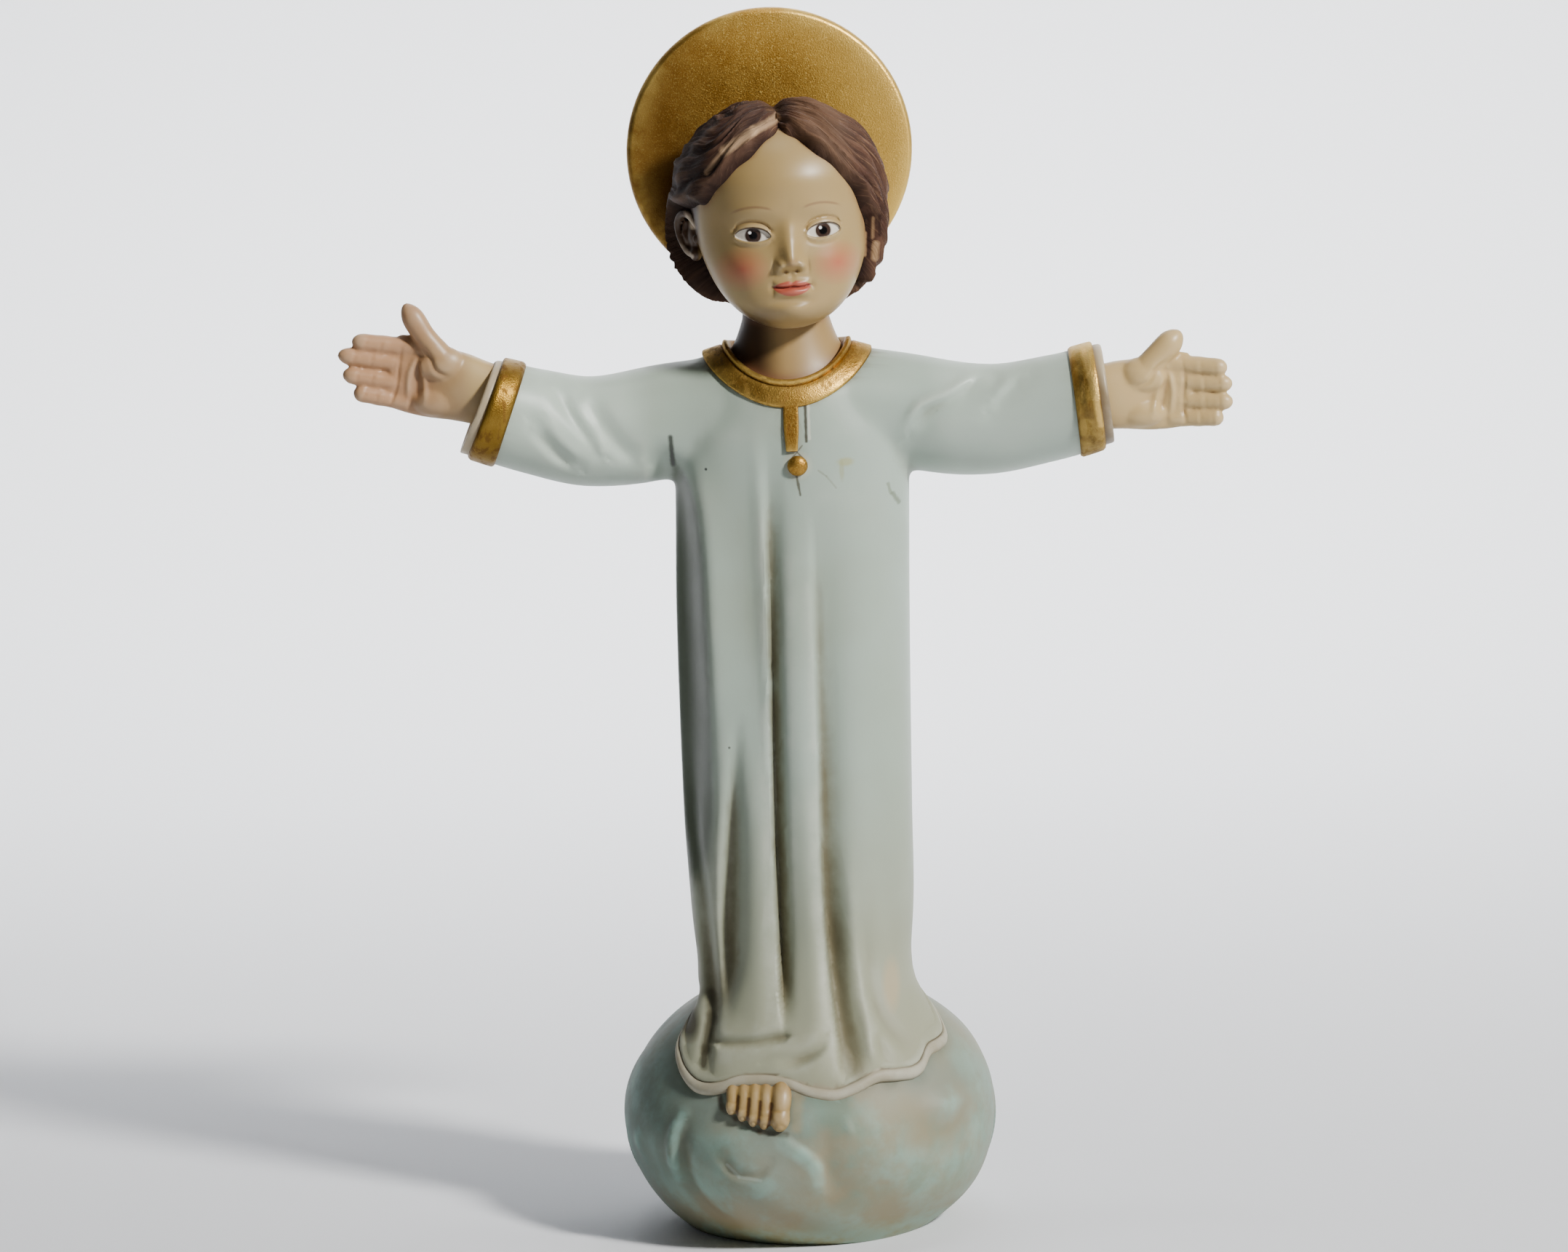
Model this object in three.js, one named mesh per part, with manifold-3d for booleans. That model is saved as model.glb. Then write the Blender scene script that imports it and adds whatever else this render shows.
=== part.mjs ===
// Painted resin figure of a robed child with open arms, a disc halo and a cloud base.
// Millimetres, +Z up, the face looks along -Y, the origin is the middle of the flat underside.
import * as THREE from 'three';
import { mergeVertices } from 'three/addons/utils/BufferGeometryUtils.js';
import Module from 'manifold-3d';

const wasm = await Module();
wasm.setup();

// Driving dimensions of the whole figure
const TOTAL_HEIGHT = 300;
const HALO_RADIUS = 35.3;
const HALO_THICKNESS = 4;
const HALO_EDGE = 1.1;
const HALO_MIDDLE = { x: -2.7, y: 21 };
const CLOUD_HALF = { x: 45.7, y: 42, z: 36.3 };
const CLOUD_CENTRE_Z = 27;
const CLOTH_GAP = 0.6;
const HEM_LEVEL = 44;
const HEM_OPENS_BELOW = 52;
const CLOUD_FELT_BELOW = 82;
const FOOT_X = -11.9;
const ROBE_ROUNDNESS = 2.35;
const SHOULDER_LEVEL = 200;
const HEAD_CENTRE = new THREE.Vector3(-0.4, -3, 250.5);
const HEAD_HALF_HEIGHT = 26;
const HEAD_BACK = 23.6;
const HEAD_TURN = THREE.MathUtils.degToRad(4.5);
const HEAD_LIFT = THREE.MathUtils.degToRad(-4);
const HEAD_TILT = THREE.MathUtils.degToRad(-2);
const HAIR_THICKNESS = 3.1;
const FINGER_RADIUS = 2.25;

// The two arms differ a little in the cuff, the drape of the sleeve and how the hand rises
const ARMS = [
  {
    side: -1,
    shoulder: 0,
    cuff: { x: 75, z: 207.6, lean: 4.8, grow: -0.9 },
    drapes: [
      { along: 1.06, drift: 0.52, depth: 1 },
      { along: 0.735, drift: 0.31, depth: 1.5 },
      { along: 0.64, drift: 0.34, depth: 1.2 },
    ],
    wrist: { x: 79, y: -10.5, z: 212.6 },
    rise: THREE.MathUtils.degToRad(15),
    fingerReach: [29, 31.6, 29.4, 25.8],
    curl: 1.5,
    thumb: [
      { reach: 3, height: 2, depth: 1, radius: 3.8 },
      { reach: 7.5, height: 6.4, depth: 1.8, radius: 3.5 },
      { reach: 12, height: 10.4, depth: 1.9, radius: 2.8 },
      { reach: 18.6, height: 17, depth: 1.2, radius: 2.5 },
    ],
  },
  {
    side: 1,
    shoulder: 1.2,
    cuff: { x: 76.9, z: 206.1, lean: 1.4, grow: 0.1 },
    drapes: [{ along: 0.6, drift: 0.55, depth: 1.1 }],
    wrist: { x: 80, y: -10.5, z: 205.8 },
    rise: THREE.MathUtils.degToRad(2),
    fingerReach: [27.2, 28.2, 28.1, 25.6],
    curl: 2.5,
    thumb: [
      { reach: 2.5, height: 1.5, depth: 1, radius: 3.8 },
      { reach: 6.5, height: 5.2, depth: 1.8, radius: 3.6 },
      { reach: 10, height: 8.8, depth: 1.9, radius: 3.2 },
      { reach: 16.4, height: 14.8, depth: 1.2, radius: 2.8 },
    ],
  },
];

// How finely each form is faceted, as steps around and steps along
const FACETS = {
  cloud: [32, 15],
  robe: 46,
  sleeve: 18,
  palm: [14, 6],
  finger: [7, 5],
  toe: [6, 4],
  instep: [10, 4],
  head: [34, 25],
  ear: [8, 6],
  button: [10, 6],
  halo: 40,
};
// How much the steps around crowd towards the front, where the detail is
const CROWDING = 0.42;

const WELD = 1e-4;
const SHORTEST_EDGE = 0.08;

const lerp = THREE.MathUtils.lerp;
const smoothstep = THREE.MathUtils.smoothstep;
const bell = (distance, width) => Math.exp(-((distance / width) ** 2));
const signedPower = (value, power) => Math.sign(value) * Math.abs(value) ** power;

// A smooth value along a length, through a few stations of [place, value]
function profile(places) {
  const stations = [...places].sort((a, b) => a[0] - b[0]);
  const last = stations.length - 1;
  const slopes = stations.map((_, i) => {
    const before = stations[Math.max(i - 1, 0)];
    const after = stations[Math.min(i + 1, last)];
    return (after[1] - before[1]) / (after[0] - before[0]);
  });
  return (place) => {
    if (place <= stations[0][0]) return stations[0][1];
    if (place >= stations[last][0]) return stations[last][1];
    let i = 0;
    while (place > stations[i + 1][0]) i += 1;
    const [start, from] = stations[i];
    const [end, to] = stations[i + 1];
    const span = end - start;
    const t = (place - start) / span;
    const ease = t * t * (3 - 2 * t);
    const leave = t * (1 - t) * (1 - t) * span * slopes[i];
    const arrive = t * t * (t - 1) * span * slopes[i + 1];
    return lerp(from, to, ease) + leave + arrive;
  };
}

// Moves every point of a geometry by a function of its place
function warp(geometry, move) {
  const points = geometry.attributes.position;
  const point = new THREE.Vector3();
  for (let i = 0; i < points.count; i += 1) {
    point.fromBufferAttribute(points, i);
    const moved = move(point);
    points.setXYZ(i, moved.x, moved.y, moved.z);
  }
  return geometry;
}

// Turn away from the front, from -PI to PI, with even steps drawn towards the front
const crowd = (turn) => turn * (1 - CROWDING) + CROWDING * turn ** 3 / Math.PI ** 2;

// A closed tube whose points are placed by share of length, angle and share of radius
function loft([around, along], place) {
  const tube = new THREE.CylinderGeometry(1, 1, 1, around, along);
  return warp(tube, (point) => {
    const share = point.y + 0.5;
    const angle = Math.atan2(-point.z, point.x);
    return place(share, angle, Math.min(1, Math.hypot(point.x, point.z)));
  });
}

// A tube given as a list of rings, each a function of angle and share of radius
const ringLoft = (around, rings) => solid(loft([around, rings.length - 1], (share, angle, rho) => (
  rings[Math.round(share * (rings.length - 1))](angle, rho)
)));

function signedVolume(points, corners) {
  const [a, b, c] = [new THREE.Vector3(), new THREE.Vector3(), new THREE.Vector3()];
  let volume = 0;
  for (let i = 0; i < corners.length; i += 3) {
    a.fromArray(points, corners[i] * 3);
    b.fromArray(points, corners[i + 1] * 3);
    c.fromArray(points, corners[i + 2] * 3);
    volume += a.dot(b.cross(c)) / 6;
  }
  return volume;
}

// A closed geometry as a solid with its faces pointing out
function solid(geometry) {
  geometry.deleteAttribute('normal');
  geometry.deleteAttribute('uv');
  const welded = mergeVertices(geometry, WELD);
  const vertProperties = Float32Array.from(welded.attributes.position.array);
  const triVerts = Uint32Array.from(welded.index.array);
  if (signedVolume(vertProperties, triVerts) < 0) triVerts.reverse();
  const mesh = new wasm.Mesh({ numProp: 3, vertProperties, triVerts, tolerance: SHORTEST_EDGE });
  return new wasm.Manifold(mesh);
}

const joined = (solids) => solids.reduce((whole, piece) => whole.add(piece));

// A rounded limb along a path of [point, radius], with an egg-shaped end
const LIMB_END = { share: 0.22, closing: 0.86, crowding: 1.5 };

function limb(facets, stations, flatness = 1) {
  const path = new THREE.CatmullRomCurve3(stations.map(([point]) => point));
  const radiusAt = profile(stations.map(([, radius], i) => [i / (stations.length - 1), radius]));
  return loft(facets, (share, angle, rho) => {
    const t = 1 - (1 - share) ** LIMB_END.crowding;
    const middle = path.getPoint(t);
    const along = path.getTangent(t);
    const sideways = new THREE.Vector3(0, 1, 0).cross(along).normalize();
    const outward = along.clone().cross(sideways).normalize();
    const towardsEnd = Math.max(0, 1 - (1 - t) / LIMB_END.share);
    const closing = Math.sqrt(1 - (LIMB_END.closing * towardsEnd) ** 2);
    const radius = radiusAt(t) * closing * rho;
    return middle
      .addScaledVector(sideways, Math.cos(angle) * radius)
      .addScaledVector(outward, Math.sin(angle) * radius * flatness);
  });
}

// Cloud base: a squashed ball with soft puffs, flat below
const PUFFS = [
  { x: -14.3, z: 21, reach: 12.5, rise: 2.6 },
  { x: 15, z: 25.7, reach: 8, rise: 1 },
  { x: 32.3, z: 34, reach: 4.6, rise: 2 },
  { x: -38, z: 27, reach: 8, rise: 0.8 },
  { x: 12, z: 6, reach: 12, rise: 0.9 },
  { x: 26, z: 16, reach: 9, rise: 0.9 },
];
const SWIRL = { rise: 0.3, across: 0.13, up: 0.17 };
const cloudLift = (x, y, z) => {
  const facing = y < 0 ? 1 : -1;
  const swirl = SWIRL.rise * Math.sin(x * facing * SWIRL.across + z * SWIRL.up + facing);
  const mounds = PUFFS.map((puff) => {
    const away = Math.hypot(x * facing - puff.x, z - puff.z);
    return puff.rise * bell(away, puff.reach);
  });
  return swirl + mounds.reduce((sum, rise) => sum + rise, 0);
};

function cloudBase() {
  const ball = warp(new THREE.SphereGeometry(1, ...FACETS.cloud), (point) => {
    const way = new THREE.Vector3(point.x, -point.z, point.y);
    const place = new THREE.Vector3(way.x * CLOUD_HALF.x, way.y * CLOUD_HALF.y, way.z * CLOUD_HALF.z);
    place.addScaledVector(way, cloudLift(place.x, place.y, place.z + CLOUD_CENTRE_Z));
    place.z += CLOUD_CENTRE_Z;
    return place;
  });
  const reach = CLOUD_HALF.x * 3;
  const ground = new THREE.BoxGeometry(reach, reach, reach);
  ground.translate(0, 0, -reach / 2);
  return solid(ball).subtract(solid(ground));
}

const cloudTop = (x, y, grow) => {
  const inside = Math.max(0, 1 - (x / (CLOUD_HALF.x + grow)) ** 2 - (y / (CLOUD_HALF.y + grow)) ** 2);
  return CLOUD_CENTRE_Z + (CLOUD_HALF.z + grow) * Math.sqrt(inside);
};

// Robe column: half width, sideways shift, half depth and middle at each height
const robeHalfWidth = profile([
  [44, 27.4], [48, 26.9], [52, 26.6], [60, 26.5], [68, 26.8], [85, 27.7], [104, 28.2], [154, 28.7],
  [185, 28.7], [195, 28.9], [205, 27], [212, 22.5], [218, 17], [222, 14],
]);
const robeShift = profile([
  [44, 0], [60, -0.3], [85, -0.4], [104, -0.75], [154, -0.45], [190, 0.4], [205, 0.2], [215, 0],
]);
const robeHalfDepth = profile([
  [44, 35], [50, 29], [58, 24.6], [68, 22.5], [85, 21.5], [126, 20.5],
  [181, 19], [195, 18], [205, 16.8], [212, 15.2], [218, 13.5], [222, 12],
]);
const robeMiddle = profile([[44, -4.5], [58, -2.5], [85, -1.5], [222, -1]]);
// Distance of the hem's edge from the axis, by the turn away from the front in degrees
const hemReach = profile([
  [-180, 30.5], [-130, 27], [-90, 25.8], [-73, 26.2], [-66.4, 30.4], [-60.7, 36.6], [-54, 39.2], [-48, 40.5],
  [-42, 41], [-33, 40.5], [-25, 39], [-17, 38.2], [-8, 38.6], [0, 39.6], [8, 40], [16, 39.7], [24, 39.3],
  [33, 39.7], [43, 39.8], [51, 38.1], [58, 38], [64, 37.4], [70, 34], [76, 30.4], [84, 27.8], [110, 27],
  [140, 28], [180, 30.5],
]);
// How far the hem lifts over the foot and dips beside it, across the front
const hemLift = profile([
  [-27, -0.8], [-20, 0.4], [-12, -0.1], [-5, 0.1], [2, -0.3], [8, -1], [13, -0.5], [18, 0.1], [25, -0.5],
]);

// Folds of the front as grooves: where each runs, how wide it is on either side, and how deep
const FRONT_FOLDS = [
  {
    line: profile([[196, -5.2], [150, -6], [100, -6.4], [60, -6]]),
    left: 1.3,
    right: 2.5,
    depth: profile([[202, 0], [188, 1], [168, 2.4], [120, 3.8], [85, 4.3], [66, 3.9], [57, 0.8], [54, 0]]),
  },
  {
    line: profile([[175, 5.4], [126, 5.4], [97, 5], [85, 5.2], [74, 5.8], [63, 6.8], [52, 8.3], [40, 10.2]]),
    left: 1.4,
    right: 3.8,
    depth: profile([
      [184, 0], [160, 1.1], [126, 2.2], [100, 2.8], [85, 3.8], [66, 4.8], [56, 3.8], [50, 2.8], [44, 2.2],
    ]),
  },
  {
    line: profile([[134, -14.4], [115, -16.2], [97, -17.4], [80, -18.6], [69, -19], [55, -21.3]]),
    left: 2.1,
    right: 2.7,
    depth: profile([[132, 0], [121, 0.8], [106, 2.3], [85, 3.3], [66, 3], [54, 0]]),
  },
  {
    line: profile([[112, -27.8], [102, -27], [88, -24.8], [74, -23.8], [63, -23.2], [55, -23.8], [50, -25]]),
    left: 1.8,
    right: 1.7,
    depth: profile([[122, 0], [104, 1.6], [85, 2.8], [66, 3.6], [58, 2.6], [52, 1.4], [46, 0.7]]),
  },
  {
    line: profile([[78, 13.2], [66, 14.6], [60, 16.2], [54, 19.4], [50, 22.6], [46, 25]]),
    left: 2.1,
    right: 3.1,
    depth: profile([[84, 0], [70, 1], [60, 1.5], [52, 1.3], [46, 0.4], [43, 0]]),
  },
];
// The back hangs in a few plainer folds
const BACK_FOLDS = [[-19, 2], [-8, 1.4], [3, 2.2], [12, 1.2], [22, 1.8]].map(([x, depth]) => ({
  line: profile([[165, x * 0.8], [44, x * 1.25]]),
  left: 3,
  right: 4,
  depth: profile([[180, 0], [120, depth * 0.5], [70, depth], [44, depth * 1.2]]),
}));
const foldInset = (folds, x, level) => folds.reduce((sum, fold) => {
  const off = x - fold.line(level);
  return sum + fold.depth(level) * bell(off, off < 0 ? fold.left : fold.right);
}, 0);
// The front turns away into a flat side on the left: where it turns, and how strongly
const sideEdge = profile([[200, -29.5], [194, -27], [188, -24.2], [180, -22.4], [165, -21.4], [85, -21]]);
const sideTurn = profile([[200, 0], [190, 0.6], [180, 0.9], [115, 0.9], [84, 0]]);
const sideInset = (x, level) => Math.max(0, sideEdge(level) - x) * sideTurn(level);

// A point of the robe's surface at a level and an angle; towards the hem it opens to the hem's own
// outline and follows the cloud
function robePoint(level, angle, rho = 1) {
  const across = signedPower(Math.cos(angle), 2 / ROBE_ROUNDNESS);
  const deep = signedPower(Math.sin(angle), 2 / ROBE_ROUNDNESS);
  const place = new THREE.Vector3(
    robeHalfWidth(level) * across + robeShift(level),
    robeMiddle(level) + robeHalfDepth(level) * deep,
    level,
  );
  const turn = THREE.MathUtils.radToDeg(Math.atan2(place.x, -place.y));
  const reach = Math.hypot(place.x, place.y);
  const opening = (1 - smoothstep(level, HEM_LEVEL, HEM_OPENS_BELOW)) ** 1.3;
  const grown = rho * lerp(reach, hemReach(turn), opening) / reach;
  place.set(place.x * grown, place.y * grown, level);
  const front = Math.sin(angle) < 0;
  const facing = Math.min(1, Math.abs(Math.sin(angle)) * 1.6) * rho;
  const calm = smoothstep(level, HEM_LEVEL, HEM_LEVEL + 5);
  const folds = foldInset(front ? FRONT_FOLDS : BACK_FOLDS, place.x, level);
  const flat = front ? sideInset(place.x, level) : 0;
  place.y += (folds + flat) * facing * calm * (front ? 1 : -1);
  const felt = 1 - smoothstep(level, HEM_LEVEL, CLOUD_FELT_BELOW);
  const lifted = hemLift(place.x) * smoothstep(-place.y, 5, 25);
  place.z += (cloudTop(place.x, place.y, CLOTH_GAP) + lifted - HEM_LEVEL) * felt;
  return place;
}

// The hem's rounded band, as distance up along the cloth and out of it
const HEM_BAND = [[-0.5, -0.9], [0.1, 0.8], [1.9, 1.1], [3, 0.3]];
const HEM_SLOPE = { in: 0.4, up: 0.92 };

function hemPoint(angle, along, out) {
  const place = robePoint(HEM_LEVEL, angle);
  const grown = 1 + (out * HEM_SLOPE.up - along * HEM_SLOPE.in) / Math.hypot(place.x, place.y);
  return place.set(place.x * grown, place.y * grown, place.z + along * HEM_SLOPE.up + out * HEM_SLOPE.in);
}

// Collar band along the neckline, low in front; across runs from the inner edge at -1 to the outer at 1
const COLLAR = {
  across: 17.3, deep: 14.7, middle: -1.9, halfBand: 3.3, side: 218.8, front: -9.3, back: -3.2,
};
const COLLAR_RISE = 1;
const COLLAR_ROLL = 1.7;

function collarPoint(angle, across, rise) {
  const front = Math.max(0, -Math.sin(angle));
  const back = Math.max(0, Math.sin(angle));
  const slope = 0.3 + 0.95 * front ** 1.2 + 0.5 * back;
  const out = COLLAR.halfBand * across * Math.cos(slope) + rise * Math.sin(slope);
  const up = rise * Math.cos(slope) - COLLAR.halfBand * across * Math.sin(slope);
  return new THREE.Vector3(
    (COLLAR.across + out) * Math.cos(angle),
    COLLAR.middle + (COLLAR.deep + out) * Math.sin(angle),
    COLLAR.side + COLLAR.back * back + COLLAR.front * front ** 1.7 + up,
  );
}

const NECK = { radius: 10.4, flatness: 0.97, middle: -1.4, foot: 226, top: 238 };
const neckPoint = (angle, radius, z) => new THREE.Vector3(
  radius * Math.cos(angle),
  NECK.middle + radius * NECK.flatness * Math.sin(angle),
  z,
);

// Robe, collar and neck rise as one form, ring by ring, from under the hem to inside the head
const ROBE_LEVELS = 15;
const UNDER_HEM = { share: 0.96, drop: 1.5 };
const LOWEST_LEVEL = 47.2;
const COLLAR_BAND = [
  [1, -0.2], [1, COLLAR_RISE], [-0.55, COLLAR_RISE], [-0.7, COLLAR_ROLL], [-1, COLLAR_ROLL], [-1, -0.4],
];
// The throat flares from the neck to the collar's inner edge, as shares of its height and of its width
const THROAT = [[0.18, 0.35], [0.5, 0.65]];

function robe() {
  const inwards = (rho, point) => new THREE.Vector3(0, NECK.middle, point.z).lerp(point, rho);
  const drop = new THREE.Vector3(0, 0, -UNDER_HEM.drop);
  const under = (angle, rho) => robePoint(HEM_LEVEL, angle, rho * UNDER_HEM.share).add(drop);
  const hem = HEM_BAND.map(([along, out]) => (angle) => hemPoint(angle, along, out));
  const cloth = Array.from({ length: ROBE_LEVELS }, (_, i) => {
    const level = lerp(LOWEST_LEVEL, SHOULDER_LEVEL, (i / (ROBE_LEVELS - 1)) ** 1.35);
    return (angle) => robePoint(level, angle);
  });
  const shoulders = [0.35, 0.7].map((share) => (angle) => (
    robePoint(SHOULDER_LEVEL, angle).lerp(collarPoint(angle, 1, 0.2), share)
  ));
  const collar = COLLAR_BAND.map(([across, rise]) => (angle) => collarPoint(angle, across, rise));
  const throat = THROAT.map(([upShare, inShare]) => (angle) => {
    const rim = collarPoint(angle, -1, 0);
    return rim.lerp(neckPoint(angle, NECK.radius, rim.z), inShare).setZ(lerp(rim.z - 1, NECK.foot, upShare));
  });
  const neck = [NECK.foot, NECK.top].map((z) => (angle, rho) => (
    inwards(rho, neckPoint(angle, NECK.radius, z))
  ));
  const rings = [under, ...hem, ...cloth, ...shoulders, ...collar, ...throat, ...neck];
  return ringLoft(FACETS.robe, rings.map((ring) => (angle, rho) => {
    const turn = crowd(Math.atan2(Math.cos(angle), -Math.sin(angle)));
    return ring(turn - Math.PI / 2, rho);
  }));
}

// The robe's front at a place, for what is sewn on it
function robeFront(x, z) {
  const across = Math.min(0.98, Math.abs(x / robeHalfWidth(z)));
  return robeMiddle(z) - robeHalfDepth(z) * (1 - across ** ROBE_ROUNDNESS) ** (1 / ROBE_ROUNDNESS);
}

// Sleeves: straight out from the shoulder, a little lower at the elbow
const SLEEVE_START = 12;
const CUFF_LEVEL = 207.4;
const sleeveSag = profile([[0, 204.4], [0.3, 201.3], [0.58, 199.9], [0.8, 203.2], [1, CUFF_LEVEL]]);
const sleeveForward = profile([[0, -1], [0.3, -1], [0.6, -4], [1, -9.5]]);
const sleeveHalfHeight = profile([[0, 13.2], [0.15, 13.8], [0.3, 14.4], [0.6, 13.4], [1, 12.3]]);
const sleeveHalfDepth = profile([[0, 14], [0.3, 13], [0.7, 12], [1, 12.2]]);
const DRAPE_WIDTH = 0.045;

function sleevePoint(arm, share, angle, radius = 1, grow = 0) {
  const up = Math.sin(angle);
  const front = -Math.cos(angle);
  const fromTop = 0.5 - up * 0.5;
  const drape = arm.drapes.map(({ along, drift, depth }) => (
    depth * bell(share - along + drift * fromTop, DRAPE_WIDTH) * smoothstep(front, -0.5, 0.4)
  )).reduce((sum, inset) => sum + inset, 0);
  const outwards = smoothstep(share, 0.6, 1);
  const swell = grow - drape * radius;
  const halfHeight = sleeveHalfHeight(share) + arm.cuff.grow * outwards + swell;
  const raised = smoothstep(share, 0.55, 1) * (arm.cuff.z - CUFF_LEVEL);
  const lift = raised + arm.shoulder * bell(share - 0.12, 0.17);
  const lean = arm.cuff.lean * smoothstep(share, 0.4, 1) * up * radius;
  return new THREE.Vector3(
    arm.side * (lerp(SLEEVE_START, arm.cuff.x, share) - lean),
    sleeveForward(share) - (sleeveHalfDepth(share) + swell) * radius * front,
    sleeveSag(share) + lift + halfHeight * radius * up,
  );
}

// Sleeve rings as [share of length, growth, scale]: cloth, raised cuff band, thin lip, hollow at the wrist
const SLEEVE_RINGS = [
  [0, 0], [0.14, 0], [0.26, 0], [0.36, 0], [0.44, 0], [0.51, 0], [0.58, 0], [0.65, 0], [0.72, 0],
  [0.79, 0], [0.85, 0], [0.887, 0], [0.89, 0.9], [0.98, 0.9], [0.983, -0.1], [1.012, -0.1],
  [1.012, 0, 0.87], [0.965, 0, 0.85],
];

const sleeve = (arm) => ringLoft(FACETS.sleeve, SLEEVE_RINGS.map(([share, grow, scale = 1]) => (
  (angle, rho) => sleevePoint(arm, share, angle, rho * scale, grow)
)));

// Hands: measured from the wrist as reach outward, height towards the thumb, and towards the viewer
const palmHalfHeight = profile([[-9, 7.4], [0, 8.7], [8, 8.9], [15, 9.3], [18, 8.6]]);
const palmHalfDepth = profile([[-9, 5.4], [0, 5.2], [8, 4], [15, 3.1], [18, 2.3]]);
const palmMiddle = profile([[-9, -1], [0, 0], [8, -0.2], [15, 0.4], [18, 0.6]]);
const FINGER_ROOTS = [7, 2.6, -2, -6.4];
const FINGER_TIPS = [5.2, 1.2, -3.2, -6.9];
function handFrame(arm) {
  const out = new THREE.Vector3(arm.side * Math.cos(arm.rise), 0, Math.sin(arm.rise));
  const up = new THREE.Vector3(-arm.side * Math.sin(arm.rise), 0, Math.cos(arm.rise));
  const wrist = new THREE.Vector3(arm.side * arm.wrist.x, arm.wrist.y, arm.wrist.z);
  return (reach, height, depth) => wrist.clone()
    .addScaledVector(out, reach)
    .addScaledVector(up, height)
    .add(new THREE.Vector3(0, -depth, 0));
}

function hand(arm) {
  const at = handFrame(arm);
  const palm = loft(FACETS.palm, (share, angle, rho) => {
    const reach = lerp(-9, 18, share);
    const cup = 0.9 * bell(Math.cos(angle) - 1, 0.9) * smoothstep(share, 0.35, 0.7);
    return at(
      reach,
      palmMiddle(reach) + palmHalfHeight(reach) * Math.sin(angle) * rho,
      palmHalfDepth(reach) * signedPower(Math.cos(angle), 0.8) * rho - cup * rho,
    );
  });
  const fingers = FINGER_ROOTS.map((root, i) => {
    const tip = arm.fingerReach[i];
    const middle = lerp(15, tip, 0.55);
    return solid(limb(FACETS.finger, [
      [at(12.5, root, 0.2), FINGER_RADIUS * 1.02],
      [at(middle, lerp(root, FINGER_TIPS[i], 0.5), 0.25 * arm.curl), FINGER_RADIUS * 1.04],
      [at(tip, FINGER_TIPS[i], arm.curl), FINGER_RADIUS * 0.9],
    ]));
  });
  const thumb = limb(FACETS.finger, arm.thumb.map(({ reach, height, depth, radius }) => (
    [at(reach, height, depth), radius]
  )));
  return joined([solid(palm), ...fingers, solid(thumb)]);
}

// Foot: toes that point down the front of the cloud, under the hem
const TOES = [
  { x: -19.5, radius: 1.6, tip: 35.2 },
  { x: -16.9, radius: 1.6, tip: 33.8 },
  { x: -14.3, radius: 1.65, tip: 32.7 },
  { x: -11.6, radius: 1.7, tip: 32.1 },
  { x: -7.9, radius: 2.5, tip: 31.7 },
];
const TOE_ROOT = 41;
const TOE_SLANT = 0.12;
// The cloud's front at a place, where the toes lie
const cloudFront = (x, z) => {
  const inside = 1 - (x / CLOUD_HALF.x) ** 2 - ((z - CLOUD_CENTRE_Z) / CLOUD_HALF.z) ** 2;
  return -CLOUD_HALF.y * Math.sqrt(inside);
};

function foot() {
  const toes = TOES.map(({ x, radius, tip }) => {
    const at = (z, proud) => new THREE.Vector3(x + (z - tip) * TOE_SLANT, cloudFront(x, z) - proud, z);
    return solid(limb(FACETS.toe, [
      [at(TOE_ROOT, 0.2), radius * 1.1],
      [at(lerp(TOE_ROOT, tip, 0.5), 1), radius],
      [at(tip, 0.8), radius * 1.05],
    ]));
  });
  const sole = (z, sink, radius) => {
    const middle = new THREE.Vector3(FOOT_X + (z - TOE_ROOT) * TOE_SLANT, cloudFront(FOOT_X, z) + sink, z);
    return [middle, radius];
  };
  const instep = limb(FACETS.instep, [sole(48, 8.4, 8.2), sole(42.5, 4.9, 8.6), sole(35.5, 2.9, 7)], 0.44);
  return joined([solid(instep), ...toes]);
}

// Bar and round button on the chest
const PLACKET = { middle: 0.45, halfWidth: 1.95, from: 195.6, to: 207.5, rise: 1.2, sunk: 2 };
const BUTTON = { x: 1.7, z: 192.2, radius: 2.5, flatness: 0.64, proud: 0.3 };

function placket() {
  const { middle, halfWidth, from, to, rise, sunk } = PLACKET;
  return solid(warp(new THREE.BoxGeometry(2, 1, 1, 2, 1, 4), (point) => {
    const z = lerp(from, to, point.z + 0.5);
    const x = middle + point.x * halfWidth;
    const proud = point.y < 0 ? rise : -sunk;
    return new THREE.Vector3(x, robeFront(x, z) - proud, z);
  }));
}

function button() {
  const knob = new THREE.SphereGeometry(BUTTON.radius, ...FACETS.button);
  knob.scale(1, BUTTON.flatness, 1);
  knob.translate(BUTTON.x, robeFront(BUTTON.x, BUTTON.z) - BUTTON.proud, BUTTON.z);
  return solid(knob);
}

// Head: an egg with a fuller crown and a small chin, in its own frame
const headWide = profile([
  [-26, 22], [-20, 21.2], [-10, 20.8], [0, 21.4], [8, 23], [16, 25.4], [26, 27.2],
]);
const headDeep = profile([
  [-26, 20], [-20, 18.6], [-15, 17.6], [-9, 18.4], [-2, 20.4], [5, 23.2], [12, 26], [26, 28.4],
]);
const headMiddle = profile([[-26, -11], [-20, -8.8], [-15, -6.4], [-9, -4.2], [-2, -1.4], [5, 0], [26, 0.3]]);

// Calm child's face: soft brow, closed lips, small nose, on evenly spaced thirds
const FACE = {
  eyeX: 8.6, eyeZ: -2.6, browZ: 3.4, noseTipZ: -9.4, mouthZ: -15.8, chinZ: -21.8, cheekX: 11, cheekZ: -11.2,
};

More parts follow.
